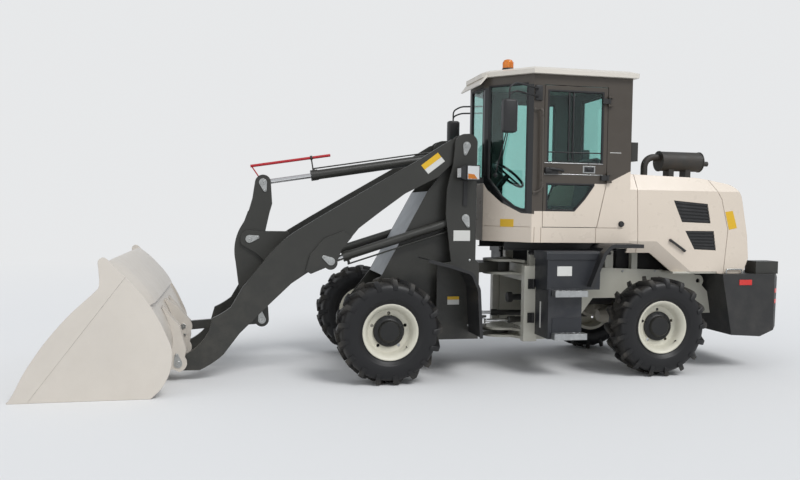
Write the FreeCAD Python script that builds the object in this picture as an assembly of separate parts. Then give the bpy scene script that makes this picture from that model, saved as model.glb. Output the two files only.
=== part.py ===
import FreeCAD
import Part
import math
import os

os.makedirs("parts", exist_ok=True)
V = FreeCAD.Vector

# Driving sizes in millimetres. The machine is drawn with x = 0 at the articulation,
# the front towards -X, z = 0 on the ground; save() moves it to the middle of its length.
TIP_REACH = 4570
TAIL_REACH = 2860
WHEELBASE = 2740
TYRE_R = 490
TYRE_W = 333
OVER_TYRES = 1904
RIM_R = 240
LUGS = 17

BUCKET_W = 2246
ARM_Y = 425
ARM_T = 50
INNER_Y = 360
OUTER_Y = 500
PLATE_T = 20

CAB_Y = 650
CAB_REAR = 1130
CAB_FLOOR = 1310
CAB_TOP = 2960
WALL_T = 35
DOOR_FRONT = 190
DOOR_REAR = 870
DOOR_TOP = 2860
DOOR_GAP = 6

FRAME_Y = 425
FRAME_TOP = 1010
HOOD_Y = 650
CW_Y = 750
CW_FRONT = TAIL_REACH - 720
CW_TOP = 1000
BOX_Y = 850
STEP_Y = 945

# Pivots of the loader as (x, z).
BOOM_PIN = (-550, 2250)
LIFT_BASE = (-550, 1540)
LIFT_EYE = (-1870, 1112)
TILT_BASE = (-570, 2180)
CRANK_TOP = (-2499, 1863)
CRANK_MID = (-2626, 1306)
CRANK_LOW = (-2498, 503)
BUCKET_TOP = (-3250, 450)
BUCKET_PIN = (-3270, 170)

# Pivots of the steering cylinders as (x, y) for the side at positive y.
STEER_BASE = (500, 205)
STEER_EYE = (-300, 330)
STEER_Z = 500

FRONT_AXLE = -WHEELBASE / 2
REAR_AXLE = WHEELBASE / 2
WHEEL_Y = (OVER_TYRES - TYRE_W) / 2
HINGE_X = (TIP_REACH - TAIL_REACH) / 2
RUN = 0.05


def box(x0, x1, y0, y1, z0, z1):
    return Part.makeBox(x1 - x0, y1 - y0, z1 - z0, V(x0, y0, z0))


def rod(r, p0, p1):
    a = V(*p0)
    d = V(*p1) - a
    return Part.makeCylinder(r, d.Length, a, d)


def path(points, lift):
    # Two numbers run straight to a point, four numbers run by an arc through the first pair.
    edges = []
    start = points[0]
    here = start
    for step in points[1:] + [start]:
        end = step[-2:]
        if len(step) == 4:
            edges.append(Part.Arc(lift(here), lift(step[:2]), lift(end)).toShape())
        elif lift(here).distanceToPoint(lift(end)) > 0.01:
            edges.append(Part.makeLine(lift(here), lift(end)))
        here = end
    return Part.Face(Part.Wire(edges))


def plate(points, y0, y1):
    return path(points, lambda p: V(p[0], y0, p[1])).extrude(V(0, y1 - y0, 0))


def slab(points, z0, z1):
    return path(points, lambda p: V(p[0], p[1], z0)).extrude(V(0, 0, z1 - z0))


def section(points, x0, x1):
    return path(points, lambda p: V(x0, p[0], p[1])).extrude(V(x1 - x0, 0, 0))


def rounded(points, radii):
    # The same run of points, with an arc of its own radius at each inner corner.
    out = [points[0]]
    for i in range(1, len(points) - 1):
        p = V(*points[i], 0)
        back = (V(*points[i - 1], 0) - p).normalize()
        on = (V(*points[i + 1], 0) - p).normalize()
        half = back.getAngle(on) / 2
        start = p + back * (radii[i] / math.tan(half))
        end = p + on * (radii[i] / math.tan(half))
        middle = p + (back + on).normalize() * (radii[i] / math.sin(half) - radii[i])
        out.append((start.x, start.y))
        out.append((middle.x, middle.y, end.x, end.y))
    return out + [points[-1]]


def band(points, t, y0, y1, r):
    # A sheet of thickness t on the left of a run of points (x, z), bent to a radius r.
    inner = []
    near = [r] * len(points)
    far = [r] * len(points)
    for i, p in enumerate(points):
        a = points[max(i - 1, 0)]
        b = points[min(i + 1, len(points) - 1)]
        d1 = V(p[0] - a[0], p[1] - a[1], 0)
        d2 = V(b[0] - p[0], b[1] - p[1], 0)
        if d1.Length < 0.01:
            d1 = d2
        if d2.Length < 0.01:
            d2 = d1
        n1 = V(-d1.y, d1.x, 0).normalize()
        n2 = V(-d2.y, d2.x, 0).normalize()
        m = (n1 + n2) * (t / (1 + n1.dot(n2)))
        inner.append((p[0] + m.x, p[1] + m.y))
        left_turn = d1.x * d2.y - d1.y * d2.x > 0
        far[i] = r - t if left_turn else r + t
    outline = rounded(points, near)
    outline.append(inner[-1])
    outline.extend(rounded(inner[::-1], far[::-1])[1:])
    return plate(outline, y0, y1)


def fuse(shapes):
    out = shapes[0]
    if len(shapes) > 1:
        out = out.multiFuse(shapes[1:])
    return out.removeSplitter()


def flip(shape):
    return shape.mirror(V(0, 0, 0), V(0, 1, 0))


def pair(shape):
    return [shape, flip(shape)]


def turn(shape, point, axis, angle):
    out = shape.copy()
    out.rotate(V(*point), V(*axis), angle)
    return out


def save(name, shapes):
    solids = []
    for shape in shapes:
        solids.extend(shape.Solids)
    out = Part.makeCompound(solids)
    out.translate(V(HINGE_X, 0, 0))
    out.exportStep("parts/" + name + ".step")


def span(a, b):
    return math.hypot(b[0] - a[0], b[1] - a[1])


def at(p, y):
    return (p[0], y, p[1])


def pin(r, p, y0, y1):
    return rod(r, at(p, y0), at(p, y1))


def keeper(p, y, angle):
    # A teardrop plate that holds a pin at p, with the pin's end and its bolt, on the
    # face at y; it points to the angle and lies on the outer side.
    out = 1 if y > 0 else -1
    way = math.radians(angle)
    tip = (p[0] + 80 * math.cos(way), p[1] + 80 * math.sin(way))
    lean = math.acos((38 - 16) / 80)

    def rim(centre, r, turned):
        return (centre[0] + r * math.cos(way + turned), centre[1] + r * math.sin(way + turned))

    outline = [
        rim(p, 38, lean),
        rim(p, 38, math.pi) + rim(p, 38, -lean),
        rim(tip, 16, -lean),
        rim(tip, 16, 0) + rim(tip, 16, lean),
    ]
    parts = [plate(outline, min(y, y + 8 * out), max(y, y + 8 * out))]
    for centre, r, high in ((p, 22, 12), (tip, 9, 14)):
        parts.append(pin(r, centre, y, y + high * out))
    return fuse(parts)


def keepers(p, y, angle):
    return [keeper(p, y, angle), keeper(p, -y, angle)]


# Tyre: a ring of flat facets, two to a lug, with two rows of slanted lugs.
LUG_SLANT = 0.55
LUG_HALF = 24
BEAD = 50


def tyre():
    half = TYRE_W / 2
    sides = 2 * LUGS
    rows = [(half - BEAD, RIM_R), (half, RIM_R + 110), (half - 20, TYRE_R - 38)]
    rows = rows + [(-y, r) for y, r in rows[::-1]]
    stretch = 1 / math.cos(math.pi / sides)

    def corner(i, j):
        y, r = rows[j % len(rows)]
        a = math.pi * (2 * i + 1) / sides
        return V(r * stretch * math.sin(a), y, r * stretch * math.cos(a))

    facets = []
    for i in range(sides):
        for j in range(len(rows)):
            quad = [corner(i, j), corner(i + 1, j), corner(i + 1, j + 1), corner(i, j + 1)]
            facets.append(Part.Face(Part.makePolygon(quad + quad[:1])))
    body = Part.makeSolid(Part.makeShell(facets))
    if body.Volume < 0:
        body.reverse()

    def crown(y):
        return math.sqrt(TYRE_R ** 2 - (LUG_SLANT * abs(y - half / 2) + LUG_HALF) ** 2)

    lug = [(6, TYRE_R - 60), (6, crown(6)), (half - 25, crown(half - 25)), (half, TYRE_R - 70)]
    corners = [V(LUG_SLANT * (y - half / 2) - LUG_HALF, y, r) for y, r in lug]
    one = Part.Face(Part.makePolygon(corners + corners[:1])).extrude(V(2 * LUG_HALF, 0, 0))
    other = flip(one)
    lugs = []
    for i in range(LUGS):
        angle = 360.0 * i / LUGS
        lugs.append(turn(one, (0, 0, 0), (0, 1, 0), angle))
        lugs.append(turn(other, (0, 0, 0), (0, 1, 0), angle + 180.0 / LUGS))
    # The corner of a lug points straight down, so that the tyre stands on the ground.
    phase = math.degrees(math.atan2(LUG_SLANT * (half / 2 - 6) + LUG_HALF, crown(6)))
    return turn(body.fuse(lugs), (0, 0, 0), (0, 1, 0), phase)


# Rim: a barrel with two flanges and a dished disc; the hub bolts to the disc.
DISC_Y = 18


def rim():
    seat = TYRE_W / 2 - BEAD + 10.5
    rows = [
        (-seat - 10, RIM_R + 22),
        (-seat, RIM_R + 22),
        (-seat, RIM_R - 1),
        (seat, RIM_R - 1),
        (seat, RIM_R + 22),
        (seat + 10, RIM_R + 22),
        (seat + 10, RIM_R - 14),
        (DISC_Y + 40, RIM_R - 18),
        (DISC_Y + 12, 190),
        (DISC_Y + 12, 110),
        (DISC_Y, 110),
        (DISC_Y, 190),
        (DISC_Y + 20, RIM_R - 22),
        (-seat - 10, RIM_R - 14),
    ]
    wire = Part.makePolygon([V(0, y, r) for y, r in rows] + [V(0, rows[0][0], rows[0][1])])
    out = Part.Face(wire).revolve(V(0, 0, 0), V(0, 1, 0), 360)
    for i in range(5):
        a = math.radians(72 * i + 18)
        x, z = 165 * math.cos(a), 165 * math.sin(a)
        out = out.cut(rod(16, (x, DISC_Y - 20, z), (x, DISC_Y + 60, z)))
    return out


# Hub: the wheel-end drum with a bore that runs on the axle's spindle.
SPINDLE_R = 45


def hub():
    rows = [
        (-46, SPINDLE_R + RUN),
        (-46, 100),
        (DISC_Y, 128),
        (DISC_Y, 104),
        (DISC_Y + 12, 104),
        (DISC_Y + 12, 135),
        (DISC_Y + 30, 135),
        (DISC_Y + 50, 100),
        (DISC_Y + 74, 92),
        (DISC_Y + 78, 0),
        (DISC_Y - 10, 0),
        (DISC_Y - 10, SPINDLE_R + RUN),
    ]
    wire = Part.makePolygon([V(0, y, r) for y, r in rows] + [V(0, rows[0][0], rows[0][1])])
    return Part.Face(wire).revolve(V(0, 0, 0), V(0, 1, 0), 360)


tyre_shape = tyre()
rim_shape = fuse([rim(), hub()])
CORNERS = (("fl", FRONT_AXLE, -1), ("fr", FRONT_AXLE, 1), ("rl", REAR_AXLE, -1), ("rr", REAR_AXLE, 1))
for tag, x, side in CORNERS:
    for kind, shape in (("tyre", tyre_shape), ("rim", rim_shape)):
        placed = shape if side > 0 else flip(shape)
        placed = placed.copy()
        placed.translate(V(x, side * WHEEL_Y, TYRE_R))
        save(kind + "_" + tag, [placed])


# Axles: a differential housing, two tubes with end flanges and the spindles.
def axle(x, pad_y, pad_top):
    end = WHEEL_Y - 46 - 8
    parts = [
        rod(75, (x, -end + 30, TYRE_R), (x, end - 30, TYRE_R)),
        rod(110, (x, -end, TYRE_R), (x, -end + 40, TYRE_R)),
        rod(110, (x, end - 40, TYRE_R), (x, end, TYRE_R)),
        rod(SPINDLE_R, (x, -WHEEL_Y - DISC_Y + 30, TYRE_R), (x, WHEEL_Y + DISC_Y - 30, TYRE_R)),
        rod(150, (x, -90, TYRE_R), (x, 90, TYRE_R)),
        Part.makeCone(75, 150, 90, V(x, -180, TYRE_R), V(0, 1, 0)),
        Part.makeCone(150, 75, 90, V(x, 90, TYRE_R), V(0, 1, 0)),
        box(x - 90, x + 90, pad_y - 40, pad_y + 40, TYRE_R + 20, pad_top),
        box(x - 90, x + 90, -pad_y - 40, -pad_y + 40, TYRE_R + 20, pad_top),
    ]
    return parts


NOSE = 240
front_axle = axle(FRONT_AXLE, INNER_Y - PLATE_T / 2, TYRE_R + 110)
front_axle.append(Part.makeCone(110, 60, NOSE - 120, V(FRONT_AXLE + 120, 0, TYRE_R), V(1, 0, 0)))
front_axle_solid = fuse(front_axle)
save("front_axle", [front_axle_solid])
rear_axle = axle(REAR_AXLE, FRAME_Y - PLATE_T / 2, TYRE_R + 240)
rear_axle.append(Part.makeCone(110, 60, NOSE - 120, V(REAR_AXLE - 120, 0, TYRE_R), V(-1, 0, 0)))
save("rear_axle", [fuse(rear_axle)])

# Rear frame: two side plates with a bore for lashing, and between them the front
# bulkhead with the hinge plates, cross beams, cab posts and the steering anchors.
HINGE_R = 190
PIN_R = 40
UPPER_LUG = (985, 1085)
LOWER_LUG = (330, 370)
BULK_X = 140
BULK_T = 25
COLUMN = 80
POST = (90, 80)
INSIDE_Y = FRAME_Y - PLATE_T

CW_LOW = 370
CW_LEAN = 120
LASH = (CW_FRONT - 70, 905)
LASH_OUT = 62


def cw_face(z):
    # The x of the counterweight's leaning front face at a height.
    return CW_FRONT + CW_LEAN * (CW_TOP - z) / (CW_TOP - CW_LOW)


side = plate(
    [
        (BULK_X + BULK_T, 310),
        (560, 330),
        (860, 730),
        (REAR_AXLE + 280, 730),
        (REAR_AXLE + 400, 560),
        (cw_face(560), 560),
        (cw_face(790), 790),
        (LASH[0] + 0.7 * LASH_OUT, LASH[1] - 0.714 * LASH_OUT),
        (LASH[0] + LASH_OUT, LASH[1], LASH[0], LASH[1] + LASH_OUT),
        (LASH[0] - 40, LASH[1] + LASH_OUT),
        (LASH[0] - 90, FRAME_TOP),
        (BULK_X + BULK_T, FRAME_TOP + 60),
    ],
    INSIDE_Y,
    FRAME_Y,
)
side = side.cut(pin(24, LASH, INSIDE_Y - 5, FRAME_Y + 5))
save("frame_sides", pair(side))
column_y = OUTER_Y + 20
bulk = box(BULK_X, BULK_X + BULK_T, -column_y, column_y, 310, FRAME_TOP + 60)
bulk = bulk.cut(box(BULK_X - 5, BULK_X + BULK_T + 5, -INSIDE_Y, INSIDE_Y, 410, 900))
front_group = [bulk]
for y0 in (-column_y, column_y - COLUMN):
    front_group.append(box(BULK_X - 70, BULK_X + 70, y0, y0 + COLUMN, 310, FRAME_TOP + 60))
plan = [
    (BULK_X + 5, -330),
    (60, -HINGE_R),
    (0, -HINGE_R),
    (-HINGE_R, 0, 0, HINGE_R),
    (60, HINGE_R),
    (BULK_X + 5, 330),
]
for low, high in (LOWER_LUG, UPPER_LUG):
    front_group.append(slab(plan, low - 30, low - 5))
    front_group.append(slab(plan, high + 5, high + 30))
    front_group.append(rod(PIN_R, (0, 0, low - 40), (0, 0, high + 40)))
anchor = [box(STEER_BASE[0] + 50, STEER_BASE[0] + 75, -INSIDE_Y, INSIDE_Y, 420, 600)]
for y in (-STEER_BASE[1], STEER_BASE[1]):
    for z0 in (STEER_Z - 55, STEER_Z + 35):
        anchor.append(box(STEER_BASE[0] - 40, STEER_BASE[0] + 60, y - 45, y + 45, z0, z0 + 20))
    anchor.append(rod(20, (STEER_BASE[0], y, STEER_Z - 60), (STEER_BASE[0], y, STEER_Z + 60)))
rear_parts = [fuse(front_group), fuse(anchor)]
for x, low in ((BULK_X + 330, 345), (CW_FRONT - 50, 760)):
    rear_parts.append(box(x, x + 25, -INSIDE_Y, INSIDE_Y, low, low + 70))
front_post = box(BULK_X + 30, BULK_X + 30 + POST[0], INSIDE_Y - POST[1], INSIDE_Y, FRAME_TOP - 20, CAB_FLOOR)
rear_parts.extend(pair(front_post))
rear_post = box(1000, 1366, INSIDE_Y - 60, INSIDE_Y, 1240, 1290)
rear_post = rear_post.fuse(box(1300, 1366, INSIDE_Y - 60, INSIDE_Y, FRAME_TOP - 20, 1290))
cab_post = box(1000, 1000 + POST[0], INSIDE_Y - POST[1], INSIDE_Y, FRAME_TOP - 20, CAB_FLOOR)
rear_parts.extend(pair(rear_post.fuse(cab_post).removeSplitter()))
rear_parts.extend(pair(box(REAR_AXLE + 270, CW_FRONT, FRAME_Y, HOOD_Y - 10, FRAME_TOP - 10, FRAME_TOP + 10)))
save("rear_frame", rear_parts)

# Engine and gearbox: plain blocks on feet against the side plates.
HOOD_FRONT = CAB_REAR
HOOD_REAR = TAIL_REACH - 360


def along(share):
    # The x at a share of the hood's length.
    return HOOD_FRONT + share * (HOOD_REAR - HOOD_FRONT)


ENGINE_END = along(0.547)
engine = fuse(
    [
        box(HOOD_FRONT + 50, ENGINE_END, -300, 300, 740, 1600),
        box(ENGINE_END, along(0.68), -260, 260, 1050, 1600),
        box(HOOD_FRONT + 170, HOOD_FRONT + 250, -INSIDE_Y, INSIDE_Y, 800, 880),
        box(ENGINE_END - 180, ENGINE_END - 100, -INSIDE_Y, INSIDE_Y, 800, 880),
    ]
)
save("engine_block", [engine])
gearbox = fuse(
    [
        rod(32, (80, 0, 700), (580, 0, 700)),
        rod(55, (80, 0, 700), (130, 0, 700)),
        box(640, HOOD_FRONT + 50, -230, 230, 640, 980),
        rod(90, (580, 0, 700), (650, 0, 700)),
        box(900, 980, -INSIDE_Y, INSIDE_Y, 800, 880),
    ]
)
save("gearbox", [gearbox])

# Counterweight: a casting closed by its side and plan outlines, with a tow bore.
cw = plate(
    [
        (CW_FRONT + CW_LEAN, CW_LOW),
        (TAIL_REACH - 265, 350),
        (TAIL_REACH - 35, 445),
        (TAIL_REACH, 960),
        (TAIL_REACH - 50, CW_TOP),
        (CW_FRONT, CW_TOP),
    ],
    -CW_Y,
    CW_Y,
)
cw_plan = [
    (CW_FRONT - 5, -CW_Y),
    (TAIL_REACH - 110, -CW_Y),
    (TAIL_REACH + 5, -CW_Y + 110),
    (TAIL_REACH + 5, CW_Y - 110),
    (TAIL_REACH - 110, CW_Y),
    (CW_FRONT - 5, CW_Y),
]
cw = cw.common(slab(cw_plan, 300, 1100))
TOW_X = TAIL_REACH - 60
cw = cw.cut(box(TOW_X - 60, TAIL_REACH + 10, -90, 90, 560, 640))
cw = cw.cut(rod(20, (TOW_X, 0, 400), (TOW_X, 0, CW_TOP + 10)))
save("counterweight", [cw])

# Hood: a shell with chamfered shoulders over the engine, and its rear cap.
HOOD_T = 20
TAIL_GAP = 6
ARCH_Z = 1210
outline = [
    (HOOD_FRONT, 2020),
    (HOOD_FRONT + 70, 2010),
    (along(0.57), 1990),
    (HOOD_REAR - 450, 1970),
    (HOOD_REAR - 240, 1930),
    (HOOD_REAR - 140, 1870, HOOD_REAR - 90, 1770),
    (HOOD_REAR - 20, 1400),
    (HOOD_REAR, 1160),
    (HOOD_REAR - 60, CW_TOP),
    (CW_FRONT, CW_TOP),
    (CW_FRONT, FRAME_TOP + 10),
    (REAR_AXLE + 270, FRAME_TOP + 10),
    (REAR_AXLE + 25, ARCH_Z),
    (HOOD_FRONT, ARCH_Z),
]
inside = [
    (HOOD_FRONT - 5, 2020 - HOOD_T),
    (HOOD_FRONT + 70, 2010 - HOOD_T),
    (along(0.57), 1990 - HOOD_T),
    (HOOD_REAR - 450, 1970 - HOOD_T),
    (HOOD_REAR - 250, 1930 - HOOD_T),
    (HOOD_REAR - 155, 1860 - HOOD_T, HOOD_REAR - 112, 1765),
    (HOOD_REAR - 20 - HOOD_T, 1400),
    (HOOD_REAR - HOOD_T, 1160),
    (HOOD_REAR - 75, CW_TOP - 5),
    (REAR_AXLE + 240, CW_TOP - 5),
    (REAR_AXLE, ARCH_Z - 20),
    (HOOD_FRONT - 5, ARCH_Z - 20),
]


def shoulders(y, drop):
    return section(
        [
            (-y, 900),
            (-y, 1850 - drop / 2),
            (-y + 110, 2060 - drop),
            (y - 110, 2060 - drop),
            (y, 1850 - drop / 2),
            (y, 900),
        ],
        HOOD_FRONT - 5,
        HOOD_REAR + 100,
    )


ARCH = [V(HOOD_FRONT - 10, 0, ARCH_Z), V(REAR_AXLE + 25, 0, ARCH_Z), V(REAR_AXLE + 411, 0, ARCH_Z - 300)]
FLARE_H = 120
FLARE_D = 55
BELOW = 60


def flare(y):
    # The wedge that turns the foot of the wall at y inwards along the wheel arch.
    mitre = V(0.344, 0, 0.939) / 0.939
    deep = y - FLARE_D * (1 + BELOW / FLARE_H)
    wires = []
    for p, n in zip(ARCH, (V(0, 0, 1), mitre, V(0.614, 0, 0.789))):
        top = p + n * (FLARE_H + 4)
        low = p - n * BELOW
        tri = [V(top.x, y + 2, top.z), V(low.x, y + 2, low.z), V(low.x, deep, low.z)]
        wires.append(Part.makePolygon(tri + tri[:1]))
    return Part.makeLoft(wires, True, True)


hood_outer = plate(outline, -HOOD_Y, HOOD_Y).common(shoulders(HOOD_Y, 0))
hood_inner = plate(inside, -HOOD_Y + HOOD_T, HOOD_Y - HOOD_T).common(shoulders(HOOD_Y - HOOD_T, HOOD_T))
for wedge in pair(flare(HOOD_Y)):
    hood_outer = hood_outer.cut(wedge)
for wedge in pair(flare(HOOD_Y - HOOD_T)):
    hood_inner = hood_inner.cut(wedge)
hood_shell = hood_outer.cut(hood_inner)
seam = [(450, 2100), (450, 1960), (330, 1770), (250, 1450), (300, 900)]
seam = [(HOOD_REAR - back, z) for back, z in seam]
zone_y = HOOD_Y + 50
front_zone = plate([(HOOD_FRONT - 130, 2100)] + seam + [(HOOD_FRONT - 130, 900)], -zone_y, zone_y)
rear_seam = [(x + TAIL_GAP, z) for x, z in seam]
rear_zone = plate([(HOOD_REAR + 200, 2100)] + rear_seam + [(HOOD_REAR + 200, 900)], -zone_y, zone_y)
hood = hood_shell.common(front_zone)
collar = [(along(0.051), 2100), (along(0.076), 1100)]
collar += [(x + TAIL_GAP, z) for x, z in collar[::-1]]
hood = hood.cut(plate(collar, -zone_y, zone_y))
hood_tail = hood_shell.common(rear_zone)

VENTS = [
    [(0.358, 1750), (0.642, 1720), (0.672, 1520), (0.431, 1530)],
    [(0.46, 1440), (0.70, 1440), (0.723, 1240), (0.54, 1250)],
]
VENTS = [[(along(share), z) for share, z in vent] for vent in VENTS]


def mix(a, b, f):
    return (a[0] + (b[0] - a[0]) * f, a[1] + (b[1] - a[1]) * f)


grilles = []
for vent in VENTS:
    hood = hood.cut(plate(vent, -HOOD_Y - 5, -HOOD_Y + 30))
    hood = hood.cut(plate(vent, HOOD_Y - 30, HOOD_Y + 5))
    leaves = [plate(vent, HOOD_Y - HOOD_T, HOOD_Y - HOOD_T + 6)]
    count = 6
    for i in range(count):
        f0 = (i + 0.15) / count
        f1 = (i + 0.65) / count
        a, b = mix(vent[0], vent[3], f0), mix(vent[1], vent[2], f0)
        c, d = mix(vent[1], vent[2], f1), mix(vent[0], vent[3], f1)
        leaves.append(plate([a, b, c, d], HOOD_Y - HOOD_T + 3, HOOD_Y - 3))
    grilles.extend(pair(fuse(leaves)))
GRILLE_Y = 430
GRILLE_LOW = 1200
GRILLE_BEND = 1400
GRILLE_TOP = 1730
window = [
    (HOOD_REAR - 200, GRILLE_LOW),
    (HOOD_REAR + 60, GRILLE_LOW),
    (HOOD_REAR + 40, GRILLE_BEND),
    (HOOD_REAR - 40, GRILLE_TOP),
    (HOOD_REAR - 200, GRILLE_TOP),
]
hood_tail = hood_tail.cut(plate(window, -GRILLE_Y, GRILLE_Y))
back = [(29, GRILLE_LOW), (43, GRILLE_BEND), (105, GRILLE_TOP)]
back += [(x - 8, z) for x, z in back[::-1]]
leaves = [plate([(HOOD_REAR - x, z) for x, z in back], -GRILLE_Y, GRILLE_Y)]
for i in range(9):
    z = GRILLE_LOW + 25 + 55 * i
    depth = 3 + (z - GRILLE_LOW) * 0.1
    if z > GRILLE_BEND:
        depth = 20 + (z - GRILLE_BEND) * 0.19
    leaves.append(box(HOOD_REAR - depth - 40, HOOD_REAR - depth - 4, -GRILLE_Y, GRILLE_Y, z, z + 22))
grilles.append(fuse(leaves))

# Moulded handles low on the hood's sides, and the filler cap behind the door.
GRIP = ((along(0.328), 1348), (along(0.458), 1231))
grip_run = span(*GRIP)
grip = []
for share0, share1, y0, y1 in ((0, 1, 14, 24), (0, 0.16, 0, 16), (0.84, 1, 0, 16)):
    a, b = mix(GRIP[0], GRIP[1], share0), mix(GRIP[0], GRIP[1], share1)
    off = (11 * (GRIP[0][1] - GRIP[1][1]) / grip_run, 11 * (GRIP[1][0] - GRIP[0][0]) / grip_run)
    ring = [(a[0] - off[0], a[1] - off[1]), (b[0] - off[0], b[1] - off[1])]
    ring += [(b[0] + off[0], b[1] + off[1]), (a[0] + off[0], a[1] + off[1])]
    grip.append(plate(ring, HOOD_Y + y0, HOOD_Y + y1))
grilles.extend(pair(fuse(grip)))
cap_at = (CAB_REAR - 92, 1502)
grilles.append(fuse([pin(30, cap_at, -CAB_Y - 8, -CAB_Y), pin(24, cap_at, -CAB_Y - 24, -CAB_Y)]))
save("hood", [hood])
save("hood_tail", [hood_tail])
save("hood_grilles", grilles)

# Muffler: a drum with rolled ends along the hood, its bent inlet pipe, its tail pipe
# and two saddles.
MUFF = (-200, 2178)
MUFF_R = 105
PIPE_R = 36
BEND = 110
INLET_Z = MUFF[1] + 40
DRUM = (along(0.416), along(0.766))
ELBOW_X = DRUM[0] - 170
mouth = Part.Face(Part.Wire(Part.makeCircle(PIPE_R, V(ELBOW_X, MUFF[0], INLET_Z - BEND), V(0, 0, 1))))
muffler = [
    rod(MUFF_R, (DRUM[0], MUFF[0], MUFF[1]), (DRUM[1], MUFF[0], MUFF[1])),
    rod(PIPE_R, (ELBOW_X, MUFF[0], 1980), (ELBOW_X, MUFF[0], INLET_Z - BEND)),
    mouth.revolve(V(ELBOW_X + BEND, MUFF[0], INLET_Z - BEND), V(0, 1, 0), 90),
    rod(PIPE_R, (ELBOW_X + BEND, MUFF[0], INLET_Z), (DRUM[0] + 10, MUFF[0], INLET_Z)),
    rod(PIPE_R - 9, (DRUM[1] - 10, MUFF[0], MUFF[1] - 16), (DRUM[1] + 105, MUFF[0], MUFF[1] - 16)),
]
for x in (DRUM[0] - 4, DRUM[1] - 6):
    muffler.append(rod(MUFF_R + 5, (x, MUFF[0], MUFF[1]), (x + 10, MUFF[0], MUFF[1])))
for x in (DRUM[0] + 90, DRUM[1] - 190):
    muffler.append(box(x, x + 60, MUFF[0] - 60, MUFF[0] + 60, 1900, MUFF[1] - 60))
save("muffler", [fuse(muffler).cut(hood_outer)])

# Cab: one hollow shell of flat walls, cut by its windows and split into the dark
# frame and the light lower panels.
CAB_NOSE = -290
NOSE_Y = 250
CAB_CORNER = 80
CAB_PLAN = [
    (CAB_NOSE, -NOSE_Y),
    (CAB_NOSE, NOSE_Y),
    (CAB_CORNER, CAB_Y),
    (CAB_REAR, CAB_Y),
    (CAB_REAR, -CAB_Y),
    (CAB_CORNER, -CAB_Y),
]


def inset(points, t):
    # The same plan with every wall moved inwards by t.
    out = []
    count = len(points)
    for i in range(count):
        a, p, b = points[i - 1], points[i], points[(i + 1) % count]
        d1 = V(p[0] - a[0], p[1] - a[1], 0).normalize()
        d2 = V(b[0] - p[0], b[1] - p[1], 0).normalize()
        n1 = V(d1.y, -d1.x, 0)
        n2 = V(d2.y, -d2.x, 0)
        m = (n1 + n2) * (t / (1 + n1.dot(n2)))
        out.append((p[0] + m.x, p[1] + m.y))
    return out


def on_wall(a, b, points, t0, t1):
    # A prism on the wall that runs from a to b in plan: points are (distance, z).
    d = V(b[0] - a[0], b[1] - a[1], 0).normalize()
    n = V(d.y, -d.x, 0)
    face = path(points, lambda p: V(a[0], a[1], p[1]) + d * p[0] + n * t0)
    return face.extrude(n * (t1 - t0))


DIAG = span((CAB_NOSE, NOSE_Y), (CAB_CORNER, CAB_Y))
LIGHT_TOP = 2880
front_light = [(45, 1940), (2 * NOSE_Y - 45, 1940), (2 * NOSE_Y - 45, LIGHT_TOP), (45, LIGHT_TOP)]
low_edge = [(45, 1940), (DIAG - 340, 1750), (DIAG - 200, 1650), (DIAG - 60, 1605)]
diag_light = low_edge + [(DIAG - 60, LIGHT_TOP), (45, LIGHT_TOP)]
mirror_light = [(DIAG - s, z) for s, z in diag_light]
rear_light = [(200, 2080), (2 * CAB_Y - 200, 2080), (2 * CAB_Y - 200, LIGHT_TOP - 10), (200, LIGHT_TOP - 10)]
side_light = [
    (DOOR_FRONT - CAB_CORNER + 20, 1630),
    (DOOR_REAR - CAB_CORNER - 130, 1630),
    (DOOR_REAR - CAB_CORNER - 20, 1900),
    (DOOR_REAR - CAB_CORNER - 20, DOOR_TOP - 10),
    (DOOR_FRONT - CAB_CORNER + 20, DOOR_TOP - 10),
]
WALLS = [
    (CAB_PLAN[0], CAB_PLAN[1], front_light),
    (CAB_PLAN[1], CAB_PLAN[2], diag_light),
    (CAB_PLAN[2], CAB_PLAN[3], side_light),
    (CAB_PLAN[3], CAB_PLAN[4], rear_light),
    (CAB_PLAN[5], CAB_PLAN[0], mirror_light),
]
shell = slab(CAB_PLAN, CAB_FLOOR, CAB_TOP)
shell = shell.cut(slab(inset(CAB_PLAN, WALL_T), CAB_FLOOR + WALL_T, CAB_TOP + 5))
panes = []
for a, b, light in WALLS:
    shell = shell.cut(on_wall(a, b, light, -5, WALL_T + 5))
    panes.append(on_wall(a, b, light, 14, 20))


def door_outline(g):
    return [
        (DOOR_FRONT + g, 1460 + g),
        (DOOR_REAR - 94 - g, 1460 + g),
        (DOOR_REAR - g, 1895 + g / 2),
        (DOOR_REAR - g, DOOR_TOP - g),
        (DOOR_FRONT + g, DOOR_TOP - g),
    ]


shell = shell.cut(plate(door_outline(0), -CAB_Y - 5, -CAB_Y + WALL_T + 5))
door_low = [
    (DOOR_FRONT - 10, 1620),
    (530, 1620),
    (640, 1740),
    (740, 1880),
    (740, 1900),
]
light_zone = plate(
    [
        (CAB_NOSE - 20, CAB_FLOOR - 10),
        (CAB_NOSE - 20, 1900),
        (CAB_NOSE, 1895),
        (CAB_NOSE + 30, 1830),
        (-150, 1700),
        (0, 1598),
        (105, 1590),
        (105, 1620),
    ]
    + door_low
    + [
        (DOOR_REAR, 1905),
        (CAB_REAR + 10, 2040),
        (CAB_REAR + 10, CAB_FLOOR - 10),
    ],
    -CAB_Y - 50,
    CAB_Y + 50,
)
light_zone = light_zone.cut(slab(inset(CAB_PLAN, WALL_T), CAB_FLOOR - 20, 3000))
cab_panels = shell.common(light_zone)
SEAM_W = 6
SEAM_D = 8
SILL_Z = 1460
for x in (105, DOOR_FRONT - 14, DOOR_REAR - 110):
    groove = box(x, x + SEAM_W, CAB_Y - SEAM_D, CAB_Y + 5, CAB_FLOOR - 5, SILL_Z + 2)
    for one in pair(groove):
        cab_panels = cab_panels.cut(one)
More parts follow.
